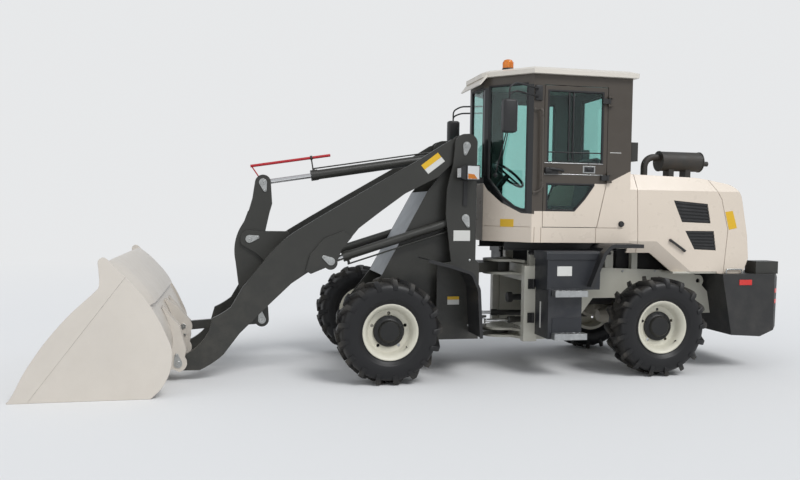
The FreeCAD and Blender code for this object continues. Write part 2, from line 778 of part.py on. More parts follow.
groove = box(DOOR_REAR - 100, CAB_REAR - 75, CAB_Y - SEAM_D, CAB_Y + 5, SILL_Z - 2, SILL_Z + 4)
for one in pair(groove):
    cab_panels = cab_panels.cut(one)
sill = [(20, SILL_Z), (DIAG - 20, SILL_Z), (DIAG - 20, SILL_Z + SEAM_W), (20, SILL_Z + SEAM_W)]
for a, b in ((CAB_PLAN[1], CAB_PLAN[2]), (CAB_PLAN[5], CAB_PLAN[0])):
    cab_panels = cab_panels.cut(on_wall(a, b, sill, -5, SEAM_D))
cab_frame = shell.cut(light_zone)
HINGES = (1960, 2720)
DOOR_AXIS = (DOOR_REAR, -CAB_Y - 20)
frame_parts = [cab_frame]
for z in HINGES:
    frame_parts.append(rod(8, DOOR_AXIS + (z - 50,), DOOR_AXIS + (z + 50,)))
    for z0 in (z - 50, z + 32):
        frame_parts.append(box(DOOR_REAR - 12, DOOR_REAR + 40, -CAB_Y - 32, -CAB_Y, z0, z0 + 18).cut(
            box(DOOR_REAR - 20, DOOR_REAR, -CAB_Y - 8, -CAB_Y, z0 - 1, z0 + 20)))
cab_frame = fuse(frame_parts)
save("cab_frame", [cab_frame])
save("cab_panels", [cab_panels])
save("windscreen", [panes[0], panes[1], panes[4]])
save("cab_glass", [panes[2], panes[3]])

# Door: a flat frame with two lights, hinged at its rear edge.
upper_light = [
    (DOOR_FRONT + 35, 2090),
    (DOOR_REAR - 45, 2090),
    (DOOR_REAR - 45, DOOR_TOP - 45),
    (DOOR_FRONT + 35, DOOR_TOP - 45),
]
lower_light = [(DOOR_FRONT + 35, 1620)] + door_low[1:] + [(DOOR_FRONT + 35, 1900)]
door = plate(door_outline(DOOR_GAP), -CAB_Y, -CAB_Y + WALL_T)
door_zone = plate(door_low + [(DOOR_REAR + 10, 1900), (DOOR_REAR + 10, 1400), (DOOR_FRONT - 10, 1400)],
                  -CAB_Y - 5, -CAB_Y + WALL_T + 5)
save("door_panel", [door.common(door_zone)])
door = door.cut(door_zone)
door_glass = []
for light in (upper_light, lower_light):
    door = door.cut(plate(light, -CAB_Y - 5, -CAB_Y + WALL_T + 5))
    door_glass.append(plate(light, -CAB_Y + 14, -CAB_Y + 20))
door_parts = [door]
for z in HINGES:
    knuckle = rod(14, DOOR_AXIS + (z - 26,), DOOR_AXIS + (z + 26,))
    leaf = box(DOOR_REAR - 70, DOOR_REAR - 4, -CAB_Y - 26, -CAB_Y, z - 26, z + 26)
    leaf = leaf.cut(box(DOOR_REAR - 40, DOOR_REAR, -CAB_Y - 8, -CAB_Y + 1, z - 30, z + 30))
    whole = knuckle.fuse(leaf)
    door_parts.append(whole.cut(rod(8 + RUN, DOOR_AXIS + (z - 60,), DOOR_AXIS + (z + 60,))))
door_parts.append(box(DOOR_FRONT + 20, DOOR_FRONT + 150, -CAB_Y - 22, -CAB_Y, 1985, 2030))
save("door", [fuse(door_parts)])
save("door_glass", door_glass)

# Roof: a cap with chamfered edges and a sloping visor over the windscreen.
ROOF_OUT = 45
ROOF_H = 75
ROOF_TOP = CAB_TOP + ROOF_H
big = inset(CAB_PLAN, -ROOF_OUT)
small = inset(CAB_PLAN, 30)
wires = []
for points, z in ((big, CAB_TOP), (big, CAB_TOP + 0.6 * ROOF_H), (small, ROOF_TOP)):
    wires.append(Part.makePolygon([V(p[0], p[1], z) for p in points + points[:1]]))
roof = Part.makeLoft(wires, True, True)
visor = [(10, 30), (85, -75), (75, -82), (0, 5)]
visor = plate([(CAB_NOSE - x, CAB_TOP + z) for x, z in visor], -330, 330)
save("cab_roof", [fuse([roof, visor])])

# Cab interior: seat on its box, front console with the steering wheel.
seat = fuse(
    [
        box(480, 880, -230, 230, CAB_FLOOR + WALL_T, 1560),
        plate([(440, 1560), (440, 1680), (880, 1660), (900, 1560)], -250, 250),
        plate([(850, 1660), (960, 2240), (1030, 2240), (1000, 1560), (850, 1560)], -240, 240),
    ]
)
save("seat", [seat])
console = [
    plate([(-200, CAB_FLOOR + WALL_T), (-170, 1850), (-60, 1850), (-20, CAB_FLOOR + WALL_T)], -150, 150),
    rod(28, (-90, 0, 1800), (60, 0, 1990)),
]
ring = [V(190 + 14 * math.cos(a * math.pi / 3), 0, 14 * math.sin(a * math.pi / 3)) for a in range(7)]
wheel = Part.Face(Part.makePolygon(ring)).revolve(V(0, 0, 0), V(0, 0, 1), 360)
wheel = turn(wheel, (0, 0, 0), (0, 1, 0), math.degrees(math.atan2(150, 190)))
wheel.translate(V(65, 0, 1996))
spoke = box(-185, 185, -12, 12, -8, 8)
spoke = turn(spoke, (0, 0, 0), (0, 1, 0), math.degrees(math.atan2(150, 190)))
spoke.translate(V(62, 0, 1993))
save("console", [fuse(console + [wheel, spoke])])

# Mirrors on double bars from the pillars in front of the doors, beacon, grab rails.
PILLAR_X = (CAB_CORNER + DOOR_FRONT) / 2 - 5
HEAD = (-250, -930)
BARS_Z = (2775, 2845)
mirror = [box(PILLAR_X - 20, PILLAR_X + 20, -CAB_Y - 16, -CAB_Y, BARS_Z[0] - 25, BARS_Z[1] + 25)]
for z in BARS_Z:
    mirror.append(rod(10, (PILLAR_X, -CAB_Y - 8, z), HEAD + (z,)))
mirror.append(rod(12, HEAD + (2640,), HEAD + (BARS_Z[1] + 15,)))
mirror.append(box(HEAD[0] - 25, HEAD[0] + 25, HEAD[1] - 80, HEAD[1] + 50, 2345, 2650))
mirror = fuse(mirror).cut(slab(CAB_PLAN, CAB_FLOOR, CAB_TOP))
save("mirrors", pair(mirror))
beacon = fuse([rod(60, (-80, -330, ROOF_TOP - 10), (-80, -330, ROOF_TOP + 15)),
               rod(48, (-80, -330, ROOF_TOP + 10), (-80, -330, ROOF_TOP + 110))])
save("beacon", [beacon.cut(roof)])
rail = fuse(
    [
        box(140, 160, -CAB_Y - 60, -CAB_Y - 40, 2080, 2660),
        box(140, 160, -CAB_Y - 50, -CAB_Y, 2080, 2100),
        box(140, 160, -CAB_Y - 50, -CAB_Y, 2640, 2660),
    ]
)
save("grab_rails", pair(rail))

# Side boxes under the cab doors with their lids and hinges, the steps and the rear
# fenders, and the lamps at the rear.
BOX_X = (165, 742)
BOX_LOW_X = (190, 537)
BOX_BEND = 861
BOX_LID = 1155
lid = section([(column_y, BOX_LID), (BOX_Y, BOX_LID), (BOX_Y, BOX_LID + 60), (BOX_Y - 20, BOX_LID + 80),
               (column_y, BOX_LID + 80)], BOX_X[0], BOX_X[1])
side_box = fuse(
    [
        lid,
        box(BOX_X[0] + 15, BOX_X[1] - 12, column_y, BOX_Y - 12, BOX_BEND, BOX_LID),
        box(BOX_LOW_X[0], BOX_LOW_X[1], column_y, BOX_Y, 385, BOX_BEND + 10),
    ]
)
box_parts = pair(side_box)
for z in (500, 840):
    leaf = box(BOX_X[0] - 57, BOX_X[0] + 13, column_y, column_y + 10, z, z + 100)
    leaf = leaf.fuse(rod(13, (BOX_X[0] - 2, column_y + 13, z), (BOX_X[0] - 2, column_y + 13, z + 100)))
    for up in (25, 75):
        leaf = leaf.fuse(rod(9, (BOX_X[0] - 35, column_y, z + up), (BOX_X[0] - 35, column_y + 16, z + up)))
    box_parts.extend(pair(leaf.removeSplitter()))
save("side_boxes", box_parts)
STEP_X = (222, 556)
TREAD = 60
treads = []
for z in (387, 801):
    tray = box(STEP_X[0], STEP_X[1], BOX_Y, STEP_Y, z, z + TREAD)
    tray = tray.cut(box(STEP_X[0] + 6, STEP_X[1] - 6, BOX_Y + 6, STEP_Y - 6, z - 1, z + TREAD - 8))
    slots = 5
    pitch = (STEP_X[1] - STEP_X[0] - 40) / slots
    for i in range(slots):
        x = STEP_X[0] + 32 + i * pitch
        tray = tray.cut(box(x, x + pitch - 24, BOX_Y + 28, STEP_Y - 28, z, z + TREAD + 5))
    if z < BOX_BEND - TREAD - 10:
        tray = tray.fuse(box(STEP_X[0] + 10, BOX_LOW_X[1], BOX_Y, BOX_Y + 6, z, z + 200))
    treads.extend(pair(tray.removeSplitter()))
save("steps", treads)
fender_run = [(590, 892), (722, 1222), (800, 1298), (CAB_REAR, 1298)]
fender = band(fender_run, 12, 560, STEP_Y + 5, 80)
fender = fender.fuse(band(fender_run, -24, STEP_Y - 3, STEP_Y + 5, 80)).removeSplitter()
fender = fender.cut(box(500, BOX_X[1] + 10, 500, BOX_Y + 6, 800, 1320))
save("rear_fenders", pair(fender))
lamp = box(TAIL_REACH - 40, TAIL_REACH, CW_Y - 240, CW_Y - 130, 700, 790)
lamp = lamp.cut(cw)
save("tail_lamps", pair(lamp))
guard = box(TAIL_REACH - 300, TAIL_REACH - 35, CW_Y - 230, CW_Y - 50, CW_TOP, CW_TOP + 130)
guard = guard.cut(box(TAIL_REACH - 45, TAIL_REACH, CW_Y - 215, CW_Y - 65, CW_TOP + 15, CW_TOP + 115))
work_lamp = fuse(
    [
        box(CAB_REAR, CAB_REAR + 24, CAB_Y - 125, CAB_Y - 75, 2110, 2190),
        box(CAB_REAR + 24, CAB_REAR + 96, CAB_Y - 170, CAB_Y - 40, 2140, 2330),
    ]
)
save("rear_box", pair(guard) + pair(work_lamp))

# Front frame: inner and outer plates on each side, bored for the pins of the boom and
# of the lift cylinders, and between them the webs, hinge lugs and cylinder anchors.
TOWER_REAR = -440
WEB_X = -400
WEB_T = 25
BOOM_PIN_R = 38
LIFT_PIN_R = 30
inner = plate(
    [
        (-400, 340),
        (-400, 1150),
        (TOWER_REAR, 1200),
        (TOWER_REAR, 2260),
        (-470, 2345, BOOM_PIN[0], BOOM_PIN[1] + 115),
        (-640, 2330, -668, 2230),
        (-690, 2060),
        (-900, 1800),
        (-1350, 970),
        (-1560, 700),
        (-1560, TYRE_R + 110),
        (-1150, TYRE_R + 110),
        (-1050, 340),
    ],
    INNER_Y - PLATE_T,
    INNER_Y,
)
outer = plate(
    [
        (-400, 345),
        (-400, 1090),
        (TOWER_REAR, 1130),
        (TOWER_REAR, 2260),
        (-470, 2345, BOOM_PIN[0], BOOM_PIN[1] + 115),
        (-640, 2330, -668, 2230),
        (-685, 2060),
        (-742, 1820),
        (-750, 1570),
        (-690, 1110),
        (-830, 1090),
        (-830, 345),
    ],
    OUTER_Y - PLATE_T,
    OUTER_Y,
)
sides = []
for piece in (inner, outer):
    piece = piece.cut(pin(BOOM_PIN_R, BOOM_PIN, 0, OUTER_Y + 12))
    sides.extend(pair(piece.cut(pin(LIFT_PIN_R, LIFT_BASE, 0, OUTER_Y + 12))))
save("front_sides", sides)
INSIDE = INNER_Y - PLATE_T
BETWEEN = OUTER_Y - PLATE_T
front_parts = []
foot = fuse(
    [
        box(WEB_X - WEB_T, WEB_X, INNER_Y, BETWEEN, 345, 1090),
        box(-830, WEB_X, INNER_Y, BETWEEN, 345, 365),
    ]
)
for piece in (
    box(TOWER_REAR - 20, TOWER_REAR, INNER_Y, BETWEEN, 1140, 2080),
    foot,
    pin(BOOM_PIN_R, BOOM_PIN, INNER_Y - 30, OUTER_Y),
    pin(LIFT_PIN_R, LIFT_BASE, INNER_Y - 15, OUTER_Y),
):
    front_parts.extend(pair(piece))
front_parts.extend(keepers(BOOM_PIN, OUTER_Y, -100) + keepers(LIFT_BASE, OUTER_Y, -70))
bulkhead = box(WEB_X - WEB_T, WEB_X, -INSIDE, INSIDE, 340, 1150)
low_group = [bulkhead.cut(rod(45, (WEB_X - 30, 0, 560), (WEB_X + 5, 0, 560)))]
low_group.append(box(-1050, WEB_X - WEB_T + 5, -INSIDE, INSIDE, 340, 360))
lug_plan = [
    (-405, -330),
    (-60, -95),
    (0, -95),
    (95, 0, 0, 95),
    (-60, 95),
    (-405, 330),
]
for low, high in (LOWER_LUG, UPPER_LUG):
    lug = slab(lug_plan, low, high)
    low_group.append(lug.cut(rod(PIN_R + RUN, (0, 0, low - 5), (0, 0, high + 5))))
for y in (-STEER_EYE[1], STEER_EYE[1]):
    for z0 in (STEER_Z - 55, STEER_Z + 35):
        ear = box(WEB_X, STEER_EYE[0], y - 40, y + 40, z0, z0 + 20)
        ear = ear.fuse(rod(40, (STEER_EYE[0], y, z0), (STEER_EYE[0], y, z0 + 20)))
        low_group.append(ear)
front_parts.append(fuse(low_group))
tilt_ear = plate(
    [
        (TOWER_REAR - 5, 1840),
        (TOWER_REAR - 5, 2100),
        (-500, 2190),
        (-530, 2245, TILT_BASE[0], TILT_BASE[1] + 70),
        (-635, 2200, TILT_BASE[0] - 60, TILT_BASE[1] - 36),
        (-560, 2060),
        (-500, 1840),
    ],
    56,
    80,
)
high_group = pair(tilt_ear)
high_group.append(box(TOWER_REAR - 20, TOWER_REAR, -INSIDE, INSIDE, 1155, 1900))
high_group.append(box(TOWER_REAR - 40, TOWER_REAR, -INSIDE, INSIDE, 1850, 1980))
high_group.append(pin(28, TILT_BASE, -88, 88))
front_parts.append(fuse(high_group))
save("front_frame", front_parts)
save("front_plate", [plate([(-900, 1800), (-1350, 970), (-1338, 963), (-888, 1793)], -INSIDE, INSIDE)])
mud_run = [(-490, 420), (-520, 880), (-590, 1040), (-810, 1110), (-1020, 1160)]
mud = band(mud_run, 10, OUTER_Y, STEP_Y - 10, 90)
mud = mud.fuse(band(mud_run, 30, STEP_Y - 18, STEP_Y - 10, 90)).removeSplitter()
save("front_fenders", pair(mud))

# Headlamps on posts against the outer plates.
post = fuse(
    [
        box(-580, -540, OUTER_Y, OUTER_Y + 14, 1660, 1960),
        box(-580, -540, OUTER_Y, 560, 1940, 1960),
        box(-600, -470, 545, 695, 1905, 2050),
        plate([(-600, 1905), (-655, 1925), (-655, 2030), (-600, 2050)], 555, 685),
    ]
)
save("headlamps", pair(post))

# Boom: two curved arms, with eyes at both ends and ears for the lift rods, and the
# cross tube that carries the bellcrank's bracket.
Y0 = ARM_Y - ARM_T / 2
Y1 = ARM_Y + ARM_T / 2
arm = plate(
    [
        (BOOM_PIN[0] - 20, BOOM_PIN[1] + 96),
        (-690, 2310),
        (-1020, 2100),
        (-1600, 1760),
        (-2000, 1520),
        (-2210, 1390),
        (-2390, 1240, -2530, 1070),
        (-2690, 870),
        (-2800, 680),
        (-2900, 612, -2966, 579),
        (-3000, 458),
        (-3065, 356, -3222, 238),
        (BUCKET_PIN[0] - 70, BUCKET_PIN[1] + 10, BUCKET_PIN[0], BUCKET_PIN[1] - 72),
        (-3080, 97),
        (-2950, 170, -2863, 239),
        (-2720, 430),
        (-2470, 680),
        (-2240, 900),
        (-1780, 1210),
        (-1600, 1430),
        (-1380, 1600),
        (-1150, 1770),
        (-820, 1940),
        (-590, 2160),
        (BOOM_PIN[0] + 97, BOOM_PIN[1], BOOM_PIN[0] - 20, BOOM_PIN[1] + 96),
    ],
    Y0,
    Y1,
)
arm = arm.cut(pin(BOOM_PIN_R + RUN, BOOM_PIN, Y0 - 5, Y1 + 5))
arm = arm.cut(pin(32 + RUN, BUCKET_PIN, Y0 - 5, Y1 + 5))
EYE_X, EYE_Z = LIFT_EYE
EAR_GAP = 9
EAR_OUT = 27
ear_outline = [
    (EYE_X - 240, EYE_Z - 90),
    (EYE_X - 190, EYE_Z - 120),
    (EYE_X - 50, EYE_Z - 62),
    (EYE_X + 10, EYE_Z - 80, EYE_X + 62, EYE_Z),
    (EYE_X + 100, EYE_Z + 110),
    (EYE_X + 200, EYE_Z + 232),
    (EYE_X + 120, EYE_Z + 290),
    (EYE_X - 70, EYE_Z + 215),
    (EYE_X - 200, EYE_Z + 60),
]
EYE_UP = (EYE_X - 45, EYE_Z + 74)
fork = [
    (EYE_X - 10, EYE_Z - 90),
    (EYE_X + 120, EYE_Z - 90),
    (EYE_X + 260, EYE_Z + 60),
    (EYE_X + 260, EYE_Z + 246),
    (EYE_X - 20, EYE_Z + 127),
    (EYE_X - 98, EYE_Z + 42),
    (EYE_X - 53, EYE_Z - 32),
]
ears = [arm, plate(ear_outline, Y0 - EAR_OUT, Y1 + EAR_OUT)]
arm_solid = fuse(ears)
for eye in (LIFT_EYE, EYE_UP):
    arm_solid = arm_solid.cut(pin(62, eye, Y0 - EAR_GAP, Y1 + EAR_GAP))
arm_solid = arm_solid.cut(plate(fork, Y0 - EAR_GAP, Y1 + EAR_GAP))
arm_solid = fuse([arm_solid, keeper(LIFT_EYE, Y1 + EAR_OUT, 150)])
TUBE = (-2330, 1130)
TUBE_R = 85
save("boom_arm_right", [arm_solid])
save("boom_arm_left", [flip(arm_solid)])
bracket = plate(
    [
        (CRANK_MID[0] - 8, CRANK_MID[1] + 87),
        (CRANK_MID[0] + 106, CRANK_MID[1] + 74),
        (TUBE[0] + 80, TUBE[1] + 250),
        (TUBE[0] + 130, TUBE[1] + 130),
        (TUBE[0] + 95, TUBE[1] - 40),
        (TUBE[0] - 10, TUBE[1] - 100),
        (TUBE[0] - 120, TUBE[1] - 60),
        (CRANK_MID[0] + 60, CRANK_MID[1] - 135),
        (CRANK_MID[0] - 60, CRANK_MID[1] - 64),
        (CRANK_MID[0] - 87, CRANK_MID[1] + 8, CRANK_MID[0] - 8, CRANK_MID[1] + 87),
    ],
    63,
    88,
)
stay = plate(
    [
        (TUBE[0] - 110, TUBE[1] + 132),
        (TUBE[0] - 20, TUBE[1] + 75),
        (TUBE[0] - 26, TUBE[1] + 63),
        (TUBE[0] - 116, TUBE[1] + 120),
    ],
    -63,
    63,
)
cross = [rod(TUBE_R, at(TUBE, -Y0), at(TUBE, Y0)), pin(34, CRANK_MID, -88, 88), stay]
cross = cross + keepers(CRANK_MID, 88, 12)
save("boom_cross", [fuse(cross + pair(bracket))])

# Bellcrank: two plates with a boss on the bracket's pin, open forks at both ends.
crank = plate(
    [
        (CRANK_TOP[0] - 75, CRANK_TOP[1] + 6),
        (CRANK_TOP[0] - 99, CRANK_TOP[1] - 158),
        (CRANK_TOP[0] - 151, CRANK_TOP[1] - 339),
        (CRANK_MID[0] - 92, CRANK_MID[1] + 100),
        (CRANK_MID[0] - 137, CRANK_MID[1] - 34, CRANK_MID[0] - 133, CRANK_MID[1] - 221),
        (CRANK_MID[0] - 96, CRANK_MID[1] - 504),
        (CRANK_LOW[0] - 68, CRANK_LOW[1] - 10),
        (CRANK_LOW[0] + 5, CRANK_LOW[1] - 68, CRANK_LOW[0] + 68, CRANK_LOW[1] + 5),
        (CRANK_LOW[0] + 60, CRANK_LOW[1] + 120),
        (CRANK_MID[0] + 140, CRANK_MID[1] - 400),
        (CRANK_MID[0] + 118, CRANK_MID[1] - 180),
        (CRANK_MID[0] + 118, CRANK_MID[1] + 20),
        (CRANK_TOP[0] + 28, CRANK_TOP[1] - 478),
        (CRANK_TOP[0] + 65, CRANK_TOP[1] - 305),
        (CRANK_TOP[0] + 92, CRANK_TOP[1] - 210),
        (CRANK_TOP[0] + 78, CRANK_TOP[1] - 6),
        (CRANK_TOP[0], CRANK_TOP[1] + 76, CRANK_TOP[0] - 75, CRANK_TOP[1] + 6),
    ],
    32,
    57,
)
web = [
    (CRANK_MID[0] - 64, CRANK_MID[1] + 134),
    (CRANK_MID[0] - 14, CRANK_MID[1] + 274),
    (CRANK_MID[0] + 126, CRANK_MID[1] + 274),
    (CRANK_MID[0] + 116, CRANK_MID[1] + 134),
]
crank_parts = pair(crank) + [pin(80, CRANK_MID, -40, 40), plate(web, -40, 40)]
bell = fuse(crank_parts).cut(pin(34 + RUN, CRANK_MID, -100, 100))
bell = fuse([bell] + keepers(CRANK_TOP, 57, -75) + keepers(CRANK_LOW, 57, 100))
save("bellcrank", [bell])

# Link between the bellcrank and the bucket.
across = V(CRANK_LOW[0] - BUCKET_TOP[0], 0, CRANK_LOW[1] - BUCKET_TOP[1])
normal = V(-across.z, 0, across.x).normalize() * 42
corners = [V(BUCKET_TOP[0], -24, BUCKET_TOP[1]) + normal]
corners.append(V(BUCKET_TOP[0], -24, BUCKET_TOP[1]) - normal)
corners.append(V(CRANK_LOW[0], -24, CRANK_LOW[1]) - normal)
corners.append(V(CRANK_LOW[0], -24, CRANK_LOW[1]) + normal)
bar = Part.Face(Part.makePolygon(corners + corners[:1])).extrude(V(0, 48, 0))
link = fuse([bar, pin(58, BUCKET_TOP, -24, 24), pin(56, CRANK_LOW, -24, 24)])
link = link.cut(pin(30 + RUN, BUCKET_TOP, -30, 30)).cut(pin(33, CRANK_LOW, -30, 30))
save("dump_link", [link])

# Bucket: a rolled shell with its cutting edge between two side plates, and the
# ears of the arms and of the link on its back.
HALF = BUCKET_W / 2
SIDE_T = 23
LIP = -TIP_REACH
SHEET = 16
EDGE_X = LIP + 140
FLOOR_Z = 6
shell_out = [
    (EDGE_X, FLOOR_Z),
    (-3590, FLOOR_Z),
    (-3440, 52, -3366, 180),
    (-3322, 350, -3346, 520),
    (-3512, 850, -3780, 1150),
    (-3830, 1182),
]
shell_in = [
    (-3838, 1168),
    (-3792, 1138),
    (-3526, 841, -3361, 515),
    (-3338, 350, -3381, 186),
    (-3450, 64, -3590, FLOOR_Z + SHEET),
    (EDGE_X, FLOOR_Z + SHEET),
]
shell = plate(shell_out + shell_in, -HALF + SIDE_T, HALF - SIDE_T)
lip = plate(
    [
        (LIP, 0),
        (LIP, 4),
        (LIP + 70, 32),
        (EDGE_X + 30, 32),
        (EDGE_X + 30, FLOOR_Z + SHEET),
        (EDGE_X, FLOOR_Z + SHEET),
        (EDGE_X, 0),
    ],
    -HALF + SIDE_T,
    HALF - SIDE_T,
)
hollow = plate([(EDGE_X - 70, -5)] + shell_out[1:] + [(EDGE_X - 70, 1182)], -HALF, HALF)
beam = [
    (-3800, 1172),
    (-3745, 1152),
    (-3605, 1028),
    (-3513, 925),
    (-3428, 790),
    (-3455, 752),
    (-3560, 870),
    (-3780, 1120),
]
beam = plate(beam, -HALF + SIDE_T, HALF - SIDE_T).cut(hollow)
shell = fuse([shell, lip, beam])
save("bucket_shell", [shell])
side = plate(
    [
        (LIP + 4, 0),
        (-3450, 0),
        (-3310, 180),
        (-3278, 350, -3318, 520),
        (-3500, 850, -3775, 1150),
        (-3805, 1190, -3868, 1150),
        (-3862, 1050),
        (-3850, 960),
        (-3885, 905),
        (-4040, 790),
        (-4190, 580),
        (-4330, 340),
        (-4490, 80),
    ],
    HALF - SIDE_T,
    HALF,
)
field = [
    (-4400, 30),
    (-3462, 30),
    (-3335, 190),
    (-3305, 350, -3343, 510),
    (-3522, 838, -3788, 1125),
    (-3812, 1075),
    (-3800, 930),
    (-3830, 850),
    (-3965, 735),
    (-4100, 545),
    (-4245, 300),
]
side = side.cut(plate(field, HALF - 4, HALF + 5))
save("bucket_sides", pair(side))
arm_ear = [
    (-3440, 60),
    (-3320, 120),
    (BUCKET_PIN[0] + 10, BUCKET_PIN[1] - 78),
    (BUCKET_PIN[0] + 78, BUCKET_PIN[1] - 10, BUCKET_PIN[0] + 60, BUCKET_PIN[1] + 55),
    (-3200, 300),
    (-3260, 520),
    (-3420, 700),
    (-3480, 640),
]
link_ear = [
    (-3400, 250),
    (-3300, 250),
    (BUCKET_TOP[0] + 60, BUCKET_TOP[1] - 60),
    (BUCKET_TOP[0] + 84, BUCKET_TOP[1], BUCKET_TOP[0] + 50, BUCKET_TOP[1] + 66),
    (-3300, 640),
    (-3420, 720),
    (-3480, 640),
]
ears = []
for y0 in (Y0 - 33, Y1 + 8):
    ears.append(plate(arm_ear, y0, y0 + 25))
ears.append(pin(32, BUCKET_PIN, Y0 - 40, Y1 + 33))
ears.append(keeper(BUCKET_PIN, Y1 + 33, 100))
brackets = pair(fuse(ears).cut(hollow))
centre = [plate(link_ear, 30, 55), plate(link_ear, -55, -30), pin(30, BUCKET_TOP, -55, 55)]
brackets.append(fuse(centre + keepers(BUCKET_TOP, 55, -80)).cut(hollow))
save("bucket_brackets", brackets)


# Cylinders: a barrel with a base eye and a gland, and the chromed rod with its eye.
def barrel(p0, p1, y, reach, r, bore, eye_r, eye_w, pin_r):
    a = V(*at(p0, y))
    d = (V(*at(p1, y)) - a).normalize()
    out = Part.makeCylinder(r, reach - 0.6 * eye_r, a + d * 0.6 * eye_r, d)
    out = out.fuse(Part.makeCylinder(r + 6, 70, a + d * (reach - 70), d))
    out = out.fuse(pin(eye_r, p0, y - eye_w / 2, y + eye_w / 2))
    out = out.cut(Part.makeCylinder(bore, reach, a + d * 90, d))
    return out.cut(pin(pin_r, p0, y - eye_w, y + eye_w)).removeSplitter()


def piston(p0, p1, y, length, r, eye_r, eye_w, pin_r):
    a = V(*at(p1, y))
    d = (V(*at(p0, y)) - a).normalize()
    out = Part.makeCylinder(r, length, a, d).fuse(pin(eye_r, p1, y - eye_w / 2, y + eye_w / 2))
    return out.cut(pin(pin_r, p1, y - eye_w, y + eye_w)).removeSplitter()


def feed(p0, p1, y, off, seat, start, end, r):
    # A steel pipe beside a barrel, off from its axis, with a foot at each end; a
    # positive off lies above the barrel.
    a = V(*at(p0, y))
    d = (V(*at(p1, y)) - a).normalize()
    n = V(d.z, 0, -d.x) * (1 if off > 0 else -1)
    out = Part.makeCylinder(r, end - start, a + d * start + n * abs(off), d)
    for share in (start + 2 * r, end - 2 * r):
        out = out.fuse(Part.makeCylinder(1.6 * r, abs(off) - seat, a + d * share + n * seat, n))
    return out


LIFT = span(LIFT_BASE, LIFT_EYE)
lift_barrel = barrel(LIFT_BASE, LIFT_EYE, ARM_Y, LIFT - 125, 42, 27.5, 60, 60, LIFT_PIN_R + RUN)
lift_barrel = fuse([lift_barrel, feed(LIFT_BASE, LIFT_EYE, ARM_Y, -80, 38, 120, LIFT - 150, 8)])
lift_rod = piston(LIFT_BASE, LIFT_EYE, ARM_Y, LIFT - 110, 27, 48, 46, 24)
save("lift_barrels", pair(lift_barrel))
save("lift_rods", pair(lift_rod))
TILT = span(TILT_BASE, CRANK_TOP)
GLAND = TILT - 483
BAR_OFF = 176
BAR_R = 14
RING_AT = GLAND - 40
tilt_barrel = barrel(TILT_BASE, CRANK_TOP, 0, GLAND, 48, 25.5, 58, 98, 28 + RUN)
tilt_parts = [tilt_barrel]
for y, end in ((-18, GLAND - 20), (18, 260)):
    tilt_parts.append(feed(TILT_BASE, CRANK_TOP, y, 66, 38, 130, end, 7))
tilt_base = V(*at(TILT_BASE, 0))
tilt_run = (V(*at(CRANK_TOP, 0)) - tilt_base).normalize()
tilt_up = V(tilt_run.z, 0, -tilt_run.x)
ring_at = tilt_base + tilt_run * RING_AT
ring_foot = ring_at + tilt_up * 48 + tilt_run * 10
tilt_parts.append(Part.makeCylinder(7, BAR_OFF - 48 - BAR_R, ring_foot, tilt_up))
tilt_parts.append(Part.makeCylinder(BAR_R + 8, 20, ring_at + tilt_up * BAR_OFF, tilt_run))
level_line = tilt_base + tilt_up * BAR_OFF
tilt_barrel = fuse(tilt_parts).cut(Part.makeCylinder(BAR_R + 0.4, TILT, level_line, tilt_run))
save("tilt_barrel", [tilt_barrel])
level_bar = Part.makeCylinder(BAR_R, 800, level_line + tilt_run * (TILT - 706), tilt_run)
level_foot = level_line + tilt_run * (TILT + 84)
level_eye = V(*at(CRANK_TOP, 0))
foot = Part.makeCylinder(6, (level_eye - level_foot).Length, level_foot, level_eye - level_foot)
save("level_bar", [fuse([level_bar, foot]).cut(pin(50, CRANK_TOP, -30, 30))])
save("tilt_rod", [piston(TILT_BASE, CRANK_TOP, 0, TILT - 450, 25, 50, 46, 26)])


def flat(shape):
    # Lays a cylinder drawn in (x, z) down into the plan at the steering height.
    out = turn(shape, (0, 0, 0), (1, 0, 0), -90)
    out.translate(V(0, 0, STEER_Z))
    return out


STEER = span(STEER_BASE, STEER_EYE)
base = (STEER_BASE[0], -STEER_BASE[1])
eye = (STEER_EYE[0], -STEER_EYE[1])
steer_barrel = flat(barrel(base, eye, 0, STEER - 300, 30, 18.5, 38, 50, 20 + RUN))
steer_rod = flat(piston(base, eye, 0, 520, 18, 32, 50, 22))
for tag, s in (("r", 1), ("l", -1)):
    near = steer_barrel.BoundBox.YMax > 0
    right = (s > 0) == near
    save("steer_barrel_" + tag, [steer_barrel if right else flip(steer_barrel)])
    save("steer_rod_" + tag, [steer_rod if right else flip(steer_rod)])

# Shaft from the articulation to the front axle.
front_shaft = [
    rod(32, (-350, 0, 562), (FRONT_AXLE + NOSE - 20, 0, TYRE_R)),
    rod(60, (-400, 0, 560), (-330, 0, 560)),
]
save("front_shaft", [fuse(front_shaft).cut(front_axle_solid)])
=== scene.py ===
import bpy
import bmesh
import math
from mathutils import Matrix, Vector


